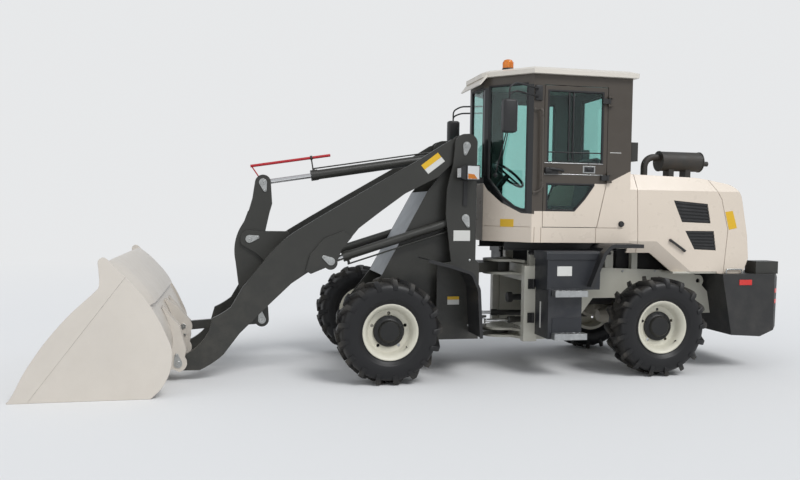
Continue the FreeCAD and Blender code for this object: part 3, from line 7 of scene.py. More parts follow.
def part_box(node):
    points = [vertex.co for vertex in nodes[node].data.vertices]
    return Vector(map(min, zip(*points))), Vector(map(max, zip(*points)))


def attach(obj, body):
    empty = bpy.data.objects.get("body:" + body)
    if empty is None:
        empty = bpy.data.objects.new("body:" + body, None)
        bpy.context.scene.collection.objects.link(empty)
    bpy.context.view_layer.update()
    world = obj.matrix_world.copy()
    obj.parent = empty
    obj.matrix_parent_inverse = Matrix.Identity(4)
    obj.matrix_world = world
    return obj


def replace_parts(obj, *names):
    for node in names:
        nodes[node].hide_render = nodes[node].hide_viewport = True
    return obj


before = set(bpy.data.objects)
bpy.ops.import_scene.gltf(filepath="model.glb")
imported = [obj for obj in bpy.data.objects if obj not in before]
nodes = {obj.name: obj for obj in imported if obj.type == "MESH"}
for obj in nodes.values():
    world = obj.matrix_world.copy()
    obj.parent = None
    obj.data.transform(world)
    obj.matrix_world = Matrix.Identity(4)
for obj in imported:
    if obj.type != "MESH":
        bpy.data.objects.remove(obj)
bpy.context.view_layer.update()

# Camera: stands left of the machine's middle at eye height, turned a little to the
# right, with the view angle that the photograph's wheels, bucket and roof give.
CAMERA_AT = Vector((-1.939, -7.844, 1.614))
YAW, PITCH, ROLL = 0.213, -0.039, 0.015
ahead = Vector((math.sin(YAW) * math.cos(PITCH), math.cos(YAW) * math.cos(PITCH), math.sin(PITCH)))
level = Vector((math.cos(YAW), -math.sin(YAW), 0))
above = level.cross(ahead)
right = level * math.cos(ROLL) + above * math.sin(ROLL)
up = above * math.cos(ROLL) - level * math.sin(ROLL)
camera_data = bpy.data.cameras.new("camera")
camera_data.lens = 35.0
camera_data.sensor_width = 36.0
camera = bpy.data.objects.new("camera", camera_data)
turned = Matrix((right, up, -ahead)).transposed().to_4x4()
camera.matrix_world = Matrix.Translation(CAMERA_AT) @ turned
bpy.context.scene.collection.objects.link(camera)
bpy.context.scene.camera = camera
bpy.context.scene.view_settings.view_transform = "Standard"

# Floor and backdrop: one pale disc that fades into an even pale surround, so that no
# horizon shows. The disc keeps the machine's soft shadow near the middle.
PALE = (0.80, 0.81, 0.82)


def material(name, colour, roughness, metallic=0.0):
    made = bpy.data.materials.new(name)
    made.use_nodes = True
    shader = made.node_tree.nodes["Principled BSDF"]
    shader.inputs["Base Color"].default_value = (*colour, 1)
    shader.inputs["Roughness"].default_value = roughness
    shader.inputs["Metallic"].default_value = metallic
    return made


def node(made, kind, inputs=(), **settings):
    # One shader node; inputs are (socket, value or output) pairs.
    tree = made.node_tree
    new = tree.nodes.new(kind)
    for key, value in settings.items():
        setattr(new, key, value)
    for socket, value in inputs:
        if isinstance(value, bpy.types.NodeSocket):
            tree.links.new(value, new.inputs[socket])
        else:
            new.inputs[socket].default_value = value
    return new


def blend_colours(made, share, first, second, blend="MIX"):
    # A colour mix; share, first and second are numbers, colours or outputs.
    mixed = node(made, "ShaderNodeMix", data_type="RGBA", blend_type=blend)
    for socket, value in ((0, share), (6, first), (7, second)):
        if isinstance(value, bpy.types.NodeSocket):
            made.node_tree.links.new(value, mixed.inputs[socket])
        elif socket == 0:
            mixed.inputs[0].default_value = value
        else:
            mixed.inputs[socket].default_value = (*value, 1)
    return mixed.outputs[2]


def step(made, value, low, high, to_low=0.0, to_high=1.0):
    ramp = node(made, "ShaderNodeMapRange", [("Value", value), ("From Min", low), ("From Max", high),
                                             ("To Min", to_low), ("To Max", to_high)])
    return ramp.outputs[0]


floor_mesh = bpy.data.meshes.new("floor")
disc = bmesh.new()
bmesh.ops.create_circle(disc, cap_ends=True, segments=96, radius=60)
disc.to_mesh(floor_mesh)
disc.free()
floor = bpy.data.objects.new("floor", floor_mesh)
bpy.context.scene.collection.objects.link(floor)
floor_paint = material("floor_paint", (0.74, 0.745, 0.75), 0.9)
tree = floor_paint.node_tree
place = node(floor_paint, "ShaderNodeNewGeometry").outputs["Position"]
away = node(floor_paint, "ShaderNodeVectorMath", [(0, place)], operation="LENGTH").outputs["Value"]
fade = step(floor_paint, away, 6.0, 17.0)
glow = node(floor_paint, "ShaderNodeEmission", [("Color", (*PALE, 1)), ("Strength", 1.0)])
both = node(floor_paint, "ShaderNodeMixShader", [(0, fade), (1, tree.nodes["Principled BSDF"].outputs[0]),
                                                 (2, glow.outputs[0])])
tree.links.new(both.outputs[0], tree.nodes["Material Output"].inputs["Surface"])
floor_mesh.materials.append(floor_paint)

# Light: an even pale surround and one broad soft lamp high on the left and behind, at a
# level where a colour renders about as it is written.
world = bpy.data.worlds.new("surround")
bpy.context.scene.world = world
world.use_nodes = True
tree = world.node_tree
tree.nodes.clear()
paths = node(world, "ShaderNodeLightPath")
seen = node(world, "ShaderNodeMath", [(0, paths.outputs["Is Camera Ray"]), (1, paths.outputs["Is Transmission Ray"])],
            operation="MAXIMUM")
lit = node(world, "ShaderNodeBackground", [("Color", (0.93, 0.96, 1.0, 1)), ("Strength", 0.62)])
shown = node(world, "ShaderNodeBackground", [("Color", (*PALE, 1)), ("Strength", 1.0)])
both = node(world, "ShaderNodeMixShader", [(0, seen.outputs[0]), (1, lit.outputs[0]), (2, shown.outputs[0])])
out = node(world, "ShaderNodeOutputWorld", [("Surface", both.outputs[0])])
LAMPS = (
    # name, irradiance, spread in degrees, direction that it shines in
    ("key", 1.75, 25, (-0.42, 0.75, -0.95)),
    ("fill", 0.35, 60, (0.8, 0.5, -0.4)),
)
for name, power, spread, direction in LAMPS:
    lamp = bpy.data.lights.new(name, "SUN")
    lamp.energy = power
    lamp.angle = math.radians(spread)
    holder = bpy.data.objects.new(name, lamp)
    holder.rotation_euler = Vector(direction).to_track_quat("-Z", "Y").to_euler()
    bpy.context.scene.collection.objects.link(holder)

# Painted sheet and plate: sprayed paint with a faint orange peel, slow colour drift,
# dust that lies on the low parts and rubs that show along the edges.


def coordinates(made, scale=1.0):
    place = node(made, "ShaderNodeTexCoord").outputs["Object"]
    return node(made, "ShaderNodeMapping", [("Vector", place), ("Scale", (scale, scale, scale))]).outputs[0]


def noise(made, scale, detail=3.0, rough=0.5, vector=None):
    if vector is None:
        vector = coordinates(made)
    inputs = [("Vector", vector), ("Scale", scale), ("Detail", detail), ("Roughness", rough)]
    return node(made, "ShaderNodeTexNoise", inputs).outputs["Fac"]


def edge_mask(made, radius, low, high):
    # One along sharp edges and nought on open faces.
    soft = node(made, "ShaderNodeBevel", [("Radius", radius)], samples=4).outputs[0]
    true = node(made, "ShaderNodeNewGeometry").outputs["Normal"]
    same = node(made, "ShaderNodeVectorMath", [(0, soft), (1, true)], operation="DOT_PRODUCT").outputs["Value"]
    return step(made, same, low, high, 1.0, 0.0)


def relief(made, height, strength, distance, radius=0.003):
    # Rounds the edges by a small radius and lays a height pattern on the surface.
    soft = node(made, "ShaderNodeBevel", [("Radius", radius)], samples=4).outputs[0]
    inputs = [("Strength", strength), ("Distance", distance), ("Height", height), ("Normal", soft)]
    bump = node(made, "ShaderNodeBump", inputs).outputs[0]
    made.node_tree.links.new(bump, made.node_tree.nodes["Principled BSDF"].inputs["Normal"])


def link(made, output, socket):
    made.node_tree.links.new(output, made.node_tree.nodes["Principled BSDF"].inputs[socket])


def maths(made, operation, first, second):
    return node(made, "ShaderNodeMath", [(0, first), (1, second)], operation=operation).outputs[0]


def multiply(made, first, second):
    return maths(made, "MULTIPLY", first, second)


def painted(name, colour, roughness, dust, dust_colour, rub_colour, rub=0.6, peel=0.25):
    made = material(name, colour, roughness)
    drift = step(made, noise(made, 1.3, 4), 0.3, 0.7)
    darker = [0.93 * c for c in colour]
    shade = blend_colours(made, drift, colour, darker)
    height = node(made, "ShaderNodeSeparateXYZ",
                  [(0, node(made, "ShaderNodeTexCoord").outputs["Object"])]).outputs["Z"]
    low = step(made, height, 1.5, 0.1)
    patches = step(made, noise(made, 7, 6, 0.65), 0.42, 0.75)
    lies = multiply(made, multiply(made, low, patches), dust)
    shade = blend_colours(made, lies, shade, dust_colour)
    worn = multiply(made, edge_mask(made, 0.006, 0.86, 0.97), step(made, noise(made, 16, 5, 0.7), 0.5, 0.66))
    worn = multiply(made, worn, rub)
    shade = blend_colours(made, worn, shade, rub_colour)
    link(made, shade, "Base Color")
    gloss = step(made, noise(made, 9, 4, 0.6), 0.3, 0.7, roughness - 0.06, roughness + 0.08)
    link(made, maths(made, "ADD", gloss, multiply(made, lies, 0.5)), "Roughness")
    relief(made, noise(made, 420, 2), peel, 0.0004)
    return made


def beyond(made, across, low=None, high=None):
    # One where a point lies further than a distance across from the machine's middle
    # plane, and in a box of (x, z) corners if one is given.
    place = node(made, "ShaderNodeSeparateXYZ", [(0, node(made, "ShaderNodeTexCoord").outputs["Object"])])
    mask = maths(made, "GREATER_THAN", maths(made, "ABSOLUTE", place.outputs["Y"], 0.0), across)
    if low:
        for axis, least, most in zip("XZ", low, high):
            mask = multiply(made, mask, maths(made, "GREATER_THAN", place.outputs[axis], least))
            mask = multiply(made, mask, maths(made, "LESS_THAN", place.outputs[axis], most))
    return mask


def forward(made, x, z):
    # One where a point lies ahead of x and below z.
    place = node(made, "ShaderNodeSeparateXYZ", [(0, node(made, "ShaderNodeTexCoord").outputs["Object"])])
    ahead_of = maths(made, "LESS_THAN", place.outputs["X"], x)
    return multiply(made, ahead_of, maths(made, "LESS_THAN", place.outputs["Z"], z))


def repaint(made, mask, colour, roughness, metallic=0.0):
    # Lays another finish where the mask is one, over what the paint has there.
    shader = made.node_tree.nodes["Principled BSDF"]
    spots = step(made, noise(made, 40, 4, 0.6), 0.3, 0.7)
    finish = blend_colours(made, spots, colour, [0.8 * c for c in colour])
    below = shader.inputs["Base Color"].links[0].from_socket
    link(made, blend_colours(made, mask, below, finish), "Base Color")
    below = shader.inputs["Roughness"].links[0].from_socket
    inputs = [("Factor", mask), ("A", below), ("B", roughness)]
    link(made, node(made, "ShaderNodeMix", inputs, data_type="FLOAT").outputs[0], "Roughness")
    if metallic:
        link(made, multiply(made, mask, metallic), "Metallic")


def dark_steel(name):
    return painted(name, (0.032, 0.032, 0.028), 0.36, 0.18, (0.20, 0.18, 0.15), (0.16, 0.15, 0.14), 0.8)


ZINC = (0.52, 0.53, 0.52)
DUST = (0.40, 0.36, 0.30)
cream = painted("cream_paint", (0.70, 0.615, 0.52), 0.30, 0.15, DUST, (0.50, 0.46, 0.40), 0.3)
white = painted("bucket_paint", (0.63, 0.585, 0.525), 0.34, 0.12, (0.42, 0.37, 0.31), (0.30, 0.28, 0.26), 0.9)
brown = painted("cab_paint", (0.066, 0.055, 0.044), 0.34, 0.2, (0.22, 0.19, 0.16), (0.20, 0.18, 0.16), 0.4)
door_brown = painted("door_paint", (0.066, 0.055, 0.044), 0.34, 0.2, (0.22, 0.19, 0.16), (0.20, 0.18, 0.16), 0.4)
repaint(door_brown, beyond(door_brown, 0.6505), (0.02, 0.02, 0.02), 0.5)
dark = dark_steel("dark_paint")
grey = painted("ballast_paint", (0.022, 0.022, 0.022), 0.5, 0.15, (0.20, 0.18, 0.16), (0.15, 0.14, 0.13), 0.7, 0.6)
box_grey = painted("box_paint", (0.018, 0.020, 0.025), 0.42, 0.15, (0.20, 0.19, 0.17), (0.16, 0.16, 0.16))
# The front face of each side box is laid near black: painted shade, for the face that turns forward, away from the main
# lamp.
repaint(box_grey, beyond(box_grey, 0.5, (0.90, 0.4), (1.034, 1.0)), (0.012, 0.012, 0.012), 0.45)
# The front plate has the tower's dark paint; its lighter grey here is a painted reflection of the bright sky, which the
# plate catches at a grazing angle.
sky_reflection_plate = painted("plate_painted_reflection", (0.31, 0.33, 0.35), 0.38, 0.3, (0.30, 0.27, 0.23), (0.2, 0.2, 0.2))
bar_red = painted("bar_paint", (0.42, 0.010, 0.018), 0.35, 0.2, (0.30, 0.12, 0.10), (0.5, 0.2, 0.2))

# The plated keepers and pin ends stand proud of the plates that they are bolted to.
crank_dark = dark_steel("crank_paint")
repaint(crank_dark, beyond(crank_dark, 0.0573), ZINC, 0.35, 0.8)
tower_dark = dark_steel("tower_paint")
repaint(tower_dark, beyond(tower_dark, 0.5003), ZINC, 0.35, 0.8)
bracket_dark = dark_steel("bracket_paint")
repaint(bracket_dark, beyond(bracket_dark, 0.0883, (-1.84, 1.2), (-1.60, 1.42)), ZINC, 0.35, 0.8)
arm_dark = dark_steel("arm_paint")
repaint(arm_dark, beyond(arm_dark, 0.4773), ZINC, 0.35, 0.8)
ear_white = painted("ear_paint", (0.63, 0.585, 0.525), 0.34, 0.15, (0.42, 0.37, 0.31), (0.30, 0.28, 0.26), 0.9)
repaint(ear_white, beyond(ear_white, 0.4833), ZINC, 0.35, 0.8)
roof_white = painted("roof_paint", (0.69, 0.65, 0.585), 0.32, 0.3, DUST, (0.42, 0.39, 0.34), 0.5)
axle_cream = painted("axle_paint", (0.50, 0.47, 0.40), 0.4, 0.7, DUST, (0.40, 0.36, 0.31))
frame_cream = painted("frame_paint", (0.54, 0.53, 0.46), 0.36, 0.4, DUST, (0.36, 0.34, 0.29))

# The bonded panes in front of the door pillar have a black band round them.
repaint(brown, forward(brown, 0.935, 2.86), (0.008, 0.009, 0.010), 0.12)

PAINTS = {
    cream: ("hood", "hood_tail", "cab_panels", "door_panel"),
    roof_white: ("cab_roof",),
    frame_cream: ("rear_frame", "frame_sides"),
    axle_cream: ("rear_axle", "front_axle"),
    ear_white: ("bucket_brackets",),
    brown: ("cab_frame",),
    door_brown: ("door",),
    tower_dark: ("front_frame", "front_sides"),
    arm_dark: ("boom_arm_left", "boom_arm_right"),
    bracket_dark: ("boom_cross",),
    crank_dark: ("bellcrank",),
    dark: ("dump_link", "lift_barrels", "tilt_barrel", "steer_barrel_l", "steer_barrel_r", "rear_box"),
    grey: ("counterweight",),
    box_grey: ("side_boxes",),
    sky_reflection_plate: ("front_plate",),
    bar_red: ("level_bar",),
}


def dress(name, made):
    slots = nodes[name].data.materials
    slots.clear()
    slots.append(made)


for made, names in PAINTS.items():
    for name in names:
        dress(name, made)

# Bare and plated steel: ground chrome on the rods, brushed galvanised treads, and the
# scaled grey of castings and the heat-stained muffler.


def steel(name, colour, roughness, grain):
    made = material(name, colour, roughness, 1.0)
    lines = noise(made, 1.0, 4, 0.6, coordinates(made, grain))
    shade = blend_colours(made, step(made, lines, 0.3, 0.7), colour, [0.8 * c for c in colour])
    link(made, shade, "Base Color")
    link(made, step(made, noise(made, 30, 5, 0.6), 0.3, 0.7, roughness * 0.7, roughness * 1.4), "Roughness")
    relief(made, lines, 0.08, 0.0005, 0.002)
    return made


def cast(name, colour, roughness, stain):
    made = material(name, colour, roughness)
    patches = step(made, noise(made, 6, 6, 0.7), 0.42, 0.68)
    link(made, blend_colours(made, patches, colour, stain), "Base Color")
    link(made, step(made, patches, 0, 1, roughness, roughness + 0.2), "Roughness")
    relief(made, noise(made, 160, 4, 0.7), 0.5, 0.001)
    return made


chrome = steel("chrome", (0.80, 0.80, 0.80), 0.10, 60)
galvanised = steel("galvanised", (0.48, 0.49, 0.49), 0.42, 25)
link(galvanised, multiply(galvanised, beyond(galvanised, 0.8565), 1.0), "Metallic")
riser = maths(galvanised, "SUBTRACT", 1.0, beyond(galvanised, 0.8565))
repaint(galvanised, riser, (0.018, 0.020, 0.025), 0.42)
casting = cast("casting", (0.02, 0.02, 0.021), 0.6, (0.05, 0.047, 0.043))
soot = cast("muffler_steel", (0.026, 0.025, 0.022), 0.5, (0.050, 0.040, 0.032))
for made, names in {
    chrome: ("lift_rods", "tilt_rod", "steer_rod_l", "steer_rod_r"),
    galvanised: ("steps",),
    casting: ("engine_block", "gearbox", "front_shaft"),
    soot: ("muffler",),
}.items():
    for name in names:
        dress(name, made)

# Moulded plastic and rubber: fenders, mirrors, lamp housings, louvres and the console,
# black with a fine leather grain that greys where it is scuffed.


def moulded(name, colour, roughness, grain=260):
    made = material(name, colour, roughness)
    scuff = step(made, noise(made, 5, 6, 0.7), 0.55, 0.9)
    link(made, blend_colours(made, scuff, colour, [2.2 * c + 0.01 for c in colour]), "Base Color")
    link(made, step(made, scuff, 0, 1, roughness, roughness + 0.15), "Roughness")
    cells = node(made, "ShaderNodeTexVoronoi", [("Vector", coordinates(made)), ("Scale", grain)]).outputs["Distance"]
    relief(made, cells, 0.2, 0.0006)
    return made


black = moulded("black_plastic", (0.016, 0.016, 0.017), 0.46)
for name in ("rear_fenders", "front_fenders", "mirrors", "headlamps", "hood_grilles", "console"):
    dress(name, black)

# Glass: green-blue tinted panes, and the coloured lenses of the beacon and tail lamps,
# with a film of dust that dulls the reflection in patches.


def pane(name, colour, roughness, passes):
    made = material(name, colour, roughness)
    made.node_tree.nodes["Principled BSDF"].inputs["Transmission Weight"].default_value = passes
    made.node_tree.nodes["Principled BSDF"].inputs["IOR"].default_value = 1.45
    film = step(made, noise(made, 3.5, 5, 0.6), 0.35, 0.8)
    link(made, blend_colours(made, film, colour, [0.9 * c + 0.03 for c in colour]), "Base Color")
    link(made, step(made, film, 0, 1, roughness, roughness + 0.05), "Roughness")
    return made


glass = pane("tinted_glass", (0.52, 0.78, 0.74), 0.02, 1.0)
amber = pane("beacon_lens", (0.95, 0.30, 0.03), 0.12, 0.45)
red = pane("tail_lens", (0.55, 0.02, 0.015), 0.12, 0.3)
for made, names in {glass: ("windscreen", "cab_glass", "door_glass"), amber: ("beacon",), red: ("tail_lamps",)}.items():
    for name in names:
        dress(name, made)

# Rims: rolled steel with a wide flange and a dish, sprayed cream, each with five hand
# holes. The black drum of the hub stands in it and ten nuts hold the rim on the hub.
rim_paint = painted("rim_paint", (0.64, 0.62, 0.52), 0.36, 0.4, DUST, (0.30, 0.27, 0.23), 0.8)
hub_paint = painted("hub_paint", (0.006, 0.006, 0.006), 0.45, 0.1, (0.05, 0.05, 0.045), (0.06, 0.06, 0.06), 0.5)
WHEELS = ("fl", "fr", "rl", "rr")
TYRE_R = 0.490
axle_line = {tag: (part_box("tyre_" + tag)[0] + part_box("tyre_" + tag)[1]) / 2 for tag in WHEELS}
for centre in axle_line.values():
    centre.z = TYRE_R


def add_mesh(name, vertices, faces, body, made, smooth=True):
    mesh = bpy.data.meshes.new(name)
    mesh.from_pydata([tuple(v) for v in vertices], [], faces)
    shape = bmesh.new()
    shape.from_mesh(mesh)
    bmesh.ops.recalc_face_normals(shape, faces=shape.faces)
    shape.to_mesh(mesh)
    shape.free()
    mesh.materials.append(made)
    if smooth:
        mesh.shade_smooth()
        mesh.set_sharp_from_angle(angle=0.55)
    piece = bpy.data.objects.new(name, mesh)
    bpy.context.scene.collection.objects.link(piece)
    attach(piece, body)
    return piece


def frame_of(direction):
    # Two unit directions square to the given one.
    d = Vector(direction).normalized()
    first = d.cross(Vector((0, 0, 1)) if abs(d.z) < 0.9 else Vector((1, 0, 0))).normalized()
    return first, d.cross(first)


def turned_rings(at, direction, rings, sides):
    # A closed turned form on a line from at: rings are (distance along, radius).
    d = Vector(direction).normalized()
    first, second = frame_of(d)
    vertices = []
    for along, r in rings:
        for i in range(sides):
            a = 2 * math.pi * i / sides
            vertices.append(Vector(at) + d * along + first * (r * math.cos(a)) + second * (r * math.sin(a)))
    faces = [tuple(range(sides)), tuple(range(len(vertices) - sides, len(vertices)))]
    for j in range(len(rings) - 1):
        for i in range(sides):
            k = (i + 1) % sides
            faces.append((j * sides + i, j * sides + k, (j + 1) * sides + k, (j + 1) * sides + i))
    return vertices, faces


def join(parts):
    vertices, faces = [], []
    for more, rings in parts:
        base = len(vertices)
        vertices.extend(more)
        faces.extend(tuple(base + i for i in face) for face in rings)
    return vertices, faces


def bolt(at, direction, r, sides=6):
    # A washer and a chamfered head on a face, a tenth of it sunk in.
    washer = turned_rings(at, direction, [(-0.1 * r, 1.25 * r), (0.16 * r, 1.25 * r), (0.22 * r, 1.15 * r)], 20)
    head = [(0.2 * r, 0.96 * r), (0.24 * r, r), (0.72 * r, r), (0.85 * r, 0.86 * r)]
    return join([washer, turned_rings(at, direction, head, sides)])


def lathe(rows, segments):
    # Turns a closed outline of (y, radius) about the y axis.
    vertices, faces = [], []
    count = len(rows)
    for i in range(segments):
        a = 2 * math.pi * i / segments
        for y, r in rows:
            vertices.append(Vector((r * math.sin(a), y, r * math.cos(a))))
        for j in range(count):
            k = (j + 1) % count
            n = (i + 1) % segments
            faces.append((i * count + j, i * count + k, n * count + k, n * count + j))
    return vertices, faces


def carved(solid, cutters):
    # The first (vertices, faces) with the others cut out of it.
    objects = []
    for vertices, faces in (solid, join(cutters)):
        mesh = bpy.data.meshes.new("blank")
        mesh.from_pydata([tuple(v) for v in vertices], [], faces)
        shape = bmesh.new()
        shape.from_mesh(mesh)
        bmesh.ops.recalc_face_normals(shape, faces=shape.faces)
        shape.to_mesh(mesh)
        shape.free()
        objects.append(bpy.data.objects.new("blank", mesh))
        bpy.context.scene.collection.objects.link(objects[-1])
    cut = objects[0].modifiers.new("cut", "BOOLEAN")
    cut.operation = "DIFFERENCE"
    cut.solver = "EXACT"
    cut.object = objects[1]
    done = objects[0].evaluated_get(bpy.context.evaluated_depsgraph_get()).to_mesh()
    result = [v.co.copy() for v in done.vertices], [tuple(face.vertices) for face in done.polygons]
    for item in objects:
        bpy.data.objects.remove(item)
    return result


RIM_ROWS = [
    (-0.137, 0.262),
    (-0.127, 0.262),
    (-0.127, 0.240),
    (0.122, 0.240),
    (0.126, 0.257),
    (0.130, 0.262),
    (0.135, 0.261),
    (0.137, 0.256),
    (0.1355, 0.249),
    (0.129, 0.240),
    (0.119, 0.230),
    (0.106, 0.220),
    (0.088, 0.212),
    (0.060, 0.207),
    (0.044, 0.203),
    (0.034, 0.195),
    (0.030, 0.183),
    (0.030, 0.100),
    (0.018, 0.100),
    (0.018, 0.190),
    (0.030, 0.214),
    (-0.137, 0.230),
]
HUB_RINGS = [(-0.046, 0.100), (0.016, 0.126), (0.028, 0.144), (0.031, 0.146), (0.045, 0.146), (0.049, 0.142),
             (0.052, 0.116), (0.060, 0.104), (0.084, 0.097), (0.092, 0.089), (0.0955, 0.045), (0.096, 0.020)]
zinc = steel("zinc_plate", ZINC, 0.30, 40)
black_steel = steel("black_bolts", (0.05, 0.05, 0.05), 0.45, 40)
NUTS = 10
holes = []
for i in range(5):
    a = math.radians(72 * i + 18)
    at = Vector((0.165 * math.cos(a), 0.010, 0.165 * math.sin(a)))
    holes.append(turned_rings(at, (0, 1, 0), [(0, 0.016), (0.028, 0.016)], 24))
rim_shape = carved(lathe(RIM_ROWS, 72), holes)
for tag in WHEELS:
    centre = axle_line[tag]
    out = 1 if centre.y > 0 else -1
    placed = [Vector((v.x, v.y * out, v.z)) + centre for v in rim_shape[0]]
    piece = add_mesh("rim_dish_" + tag, placed, rim_shape[1], "wheel_" + tag, rim_paint)
    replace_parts(piece, "rim_" + tag)
    nuts = []
    for i in range(NUTS):
        a = 2 * math.pi * (i + 0.5) / NUTS
        at = centre + Vector((0.129 * math.cos(a), out * 0.047, 0.129 * math.sin(a)))
        nuts.append(bolt(at, (0, out, 0), 0.0085))
    drum = turned_rings(centre, (0, out, 0), HUB_RINGS, 48)
    add_mesh("hub_" + tag, *drum, "wheel_" + tag, hub_paint)
    valve = centre + Vector((0.16, out * 0.098, -0.145))
    stem = turned_rings(valve, (-0.3, out, 0.3), [(0, 0.006), (0.03, 0.005), (0.034, 0.007), (0.045, 0.006)], 12)
    add_mesh("wheel_nuts_" + tag, *join(nuts + [stem]), "wheel_" + tag, black_steel, False)

# Tyres: a turned carcass with bead, sidewall rings and shoulder, and two rows of
# slanted lugs with rounded edges. They stand for the plain tyre solids.
LUGS = 17
TYRE_HALF = 0.1665



def wheel_distance(made):
    # How far a point lies from the nearer axle's line.
    place = node(made, "ShaderNodeSeparateXYZ", [(0, node(made, "ShaderNodeTexCoord").outputs["Object"])])
    flat = node(made, "ShaderNodeCombineXYZ", [("X", place.outputs["X"]), ("Z", place.outputs["Z"])]).outputs[0]
    both = []
    for tag in ("fl", "rl"):
        inputs = [(0, flat), (1, (axle_line[tag].x, 0, TYRE_R))]
        both.append(node(made, "ShaderNodeVectorMath", inputs, operation="DISTANCE").outputs["Value"])
    return maths(made, "MINIMUM", *both)


rubber = material("tyre_rubber", (0.011, 0.011, 0.012), 0.5)
rubber.node_tree.nodes["Principled BSDF"].inputs["Specular IOR Level"].default_value = 0.35
dusty = step(rubber, noise(rubber, 6, 6, 0.65), 0.40, 0.80)
dusty = multiply(rubber, dusty, step(rubber, wheel_distance(rubber), 0.42, 0.48))
link(rubber, blend_colours(rubber, dusty, (0.011, 0.011, 0.012), (0.085, 0.076, 0.062)), "Base Color")
link(rubber, step(rubber, dusty, 0, 1, 0.42, 0.85), "Roughness")
relief(rubber, noise(rubber, 300, 4, 0.6), 0.35, 0.0008, 0.002)

SIDEWALL = [
    # distance from the middle plane, radius
    (0.1150, 0.241),
    (0.1250, 0.250),
    (0.1300, 0.262),
    (0.1275, 0.272),
    (0.1360, 0.284),
    (0.1480, 0.300),
    (0.1520, 0.304),
    (0.1540, 0.312),
    (0.1590, 0.330),
    (0.1625, 0.350),
    (0.1625, 0.372),
    (0.1605, 0.390),
    (0.1560, 0.410),
    (0.1480, 0.430),
    (0.1320, 0.445),
    (0.1000, 0.452),
    (0.0500, 0.456),
]


def tyre_mesh():
    rows = SIDEWALL + [(-y, r) for y, r in SIDEWALL[::-1]]
    vertices, faces = lathe(rows, 102)
    slant = 0.55
    half = 0.024
    steps = [0.004, 0.02, 0.04, 0.06, 0.08, 0.10, 0.12, 0.138, 0.150, 0.158, 0.164]
    for row in range(2 * LUGS):
        side = 1 if row % 2 == 0 else -1
        turn = math.pi * row / LUGS + PHASE
        base = len(vertices)
        for y in steps:
            lead = slant * (y - TYRE_HALF / 2) / TYRE_R
            reach = TYRE_R - 0.0005
            if y > 0.138:
                reach = TYRE_R - 0.070 * ((y - 0.138) / 0.0265) ** 1.6
            root = min(0.440, reach - 0.03)
            wide = half / TYRE_R
            ring = [(-1.12, root), (-1.02, reach - 0.008), (-0.86, reach), (0.86, reach), (1.02, reach - 0.008),
                    (1.12, root)]
            for across, r in ring:
                a = turn + lead + across * wide
                vertices.append(Vector((r * math.sin(a), side * y, r * math.cos(a))))
        last = len(steps) - 1
        for i in range(last):
            for j in range(6):
                k = (j + 1) % 6
                faces.append((base + i * 6 + j, base + i * 6 + k, base + (i + 1) * 6 + k, base + (i + 1) * 6 + j))
        faces.append(tuple(base + j for j in range(6)))
        faces.append(tuple(base + last * 6 + j for j in range(6)))
    return vertices, faces


PHASE = 0.0
vertices, faces = tyre_mesh()
for tag in WHEELS:
    centre = axle_line[tag]
    side = 1 if centre.y > 0 else -1
    placed = [Vector((v.x, v.y * side, v.z)) + centre for v in vertices]
    piece = add_mesh("tread_" + tag, placed, faces, "wheel_" + tag, rubber)
    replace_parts(piece, "tyre_" + tag)

# Bucket: the side plates with the raised strip along their front edge, the rolled shell
# with its cutting edge and the pressed spill plate, whose ends slope down to the sides.
HINGE_X = 0.855


def spot(x, y, z):
    # Millimetres behind the steering hinge, across and up, as a point of the frame.
    return Vector((HINGE_X + x / 1000, y / 1000, z / 1000))


def curve(points, closed=True, per=5):
    # A smooth line through the points; a third value marks a sharp corner.
    count = len(points)
    result = []
    for i in range(count if closed else count - 1):
        p1, p2 = points[i], points[(i + 1) % count]
        p0 = points[i - 1] if (closed or i) and len(p1) < 3 else p1
        p3 = points[(i + 2) % count] if (closed or i + 2 < count) and len(p2) < 3 else p2
        flat = len(p1) == 3 and len(p2) == 3
        for k in range(1 if flat else per):
            t = k / per
            result.append(tuple(0.5 * (2 * p1[a] + (p2[a] - p0[a]) * t
                                       + (2 * p0[a] - 5 * p1[a] + 4 * p2[a] - p3[a]) * t * t
                                       + (3 * p1[a] - p0[a] - 3 * p2[a] + p3[a]) * t ** 3) for a in (0, 1)))
    if not closed:
        result.append(points[-1][:2])
    return result


def turning(loop):
    # The direction about which a flat loop runs.
    total = Vector()
    for i in range(len(loop)):
        total += (loop[i - 1] - loop[0]).cross(loop[i] - loop[0])
    return total.normalized()


def inset(loop, width):
    # The loop moved inwards by width, mitred.
    normal = turning(loop)
    count = len(loop)
    inner = []
    for i in range(count):
        before, here, after = loop[i - 1], loop[i], loop[(i + 1) % count]
        n1 = normal.cross((here - before).normalized())
        n2 = normal.cross((after - here).normalized())
        inner.append(here + (n1 + n2) * (width / max(1 + n1.dot(n2), 0.4)))
    return inner


def bands(rings, capped=True):
    # Joins rings of as many points each; the ends are closed if capped.
    count = len(rings[0])
    vertices = [p for ring in rings for p in ring]
    faces = []
    for j in range(len(rings) - 1):
        for i in range(count):
            k = (i + 1) % count
            faces.append((j * count + i, j * count + k, (j + 1) * count + k, (j + 1) * count + i))
    if capped:
        faces.append(tuple(range(count)))
        faces.append(tuple(range(len(vertices) - count, len(vertices))))
    return vertices, faces


def slab(loop, normal, low, high, edge):
    # A plate on a flat loop, from low to high along normal, with its outer edge broken.
    n = Vector(normal).normalized()
    rings = [[p + n * low for p in loop], [p + n * (high - edge) for p in loop],
             [p + n * high for p in inset(loop, edge)]]
    return bands(rings)


def prism(outline, y0, y1):
    return bands([[spot(x, y, z) for x, z in outline] for y in (y0, y1)])


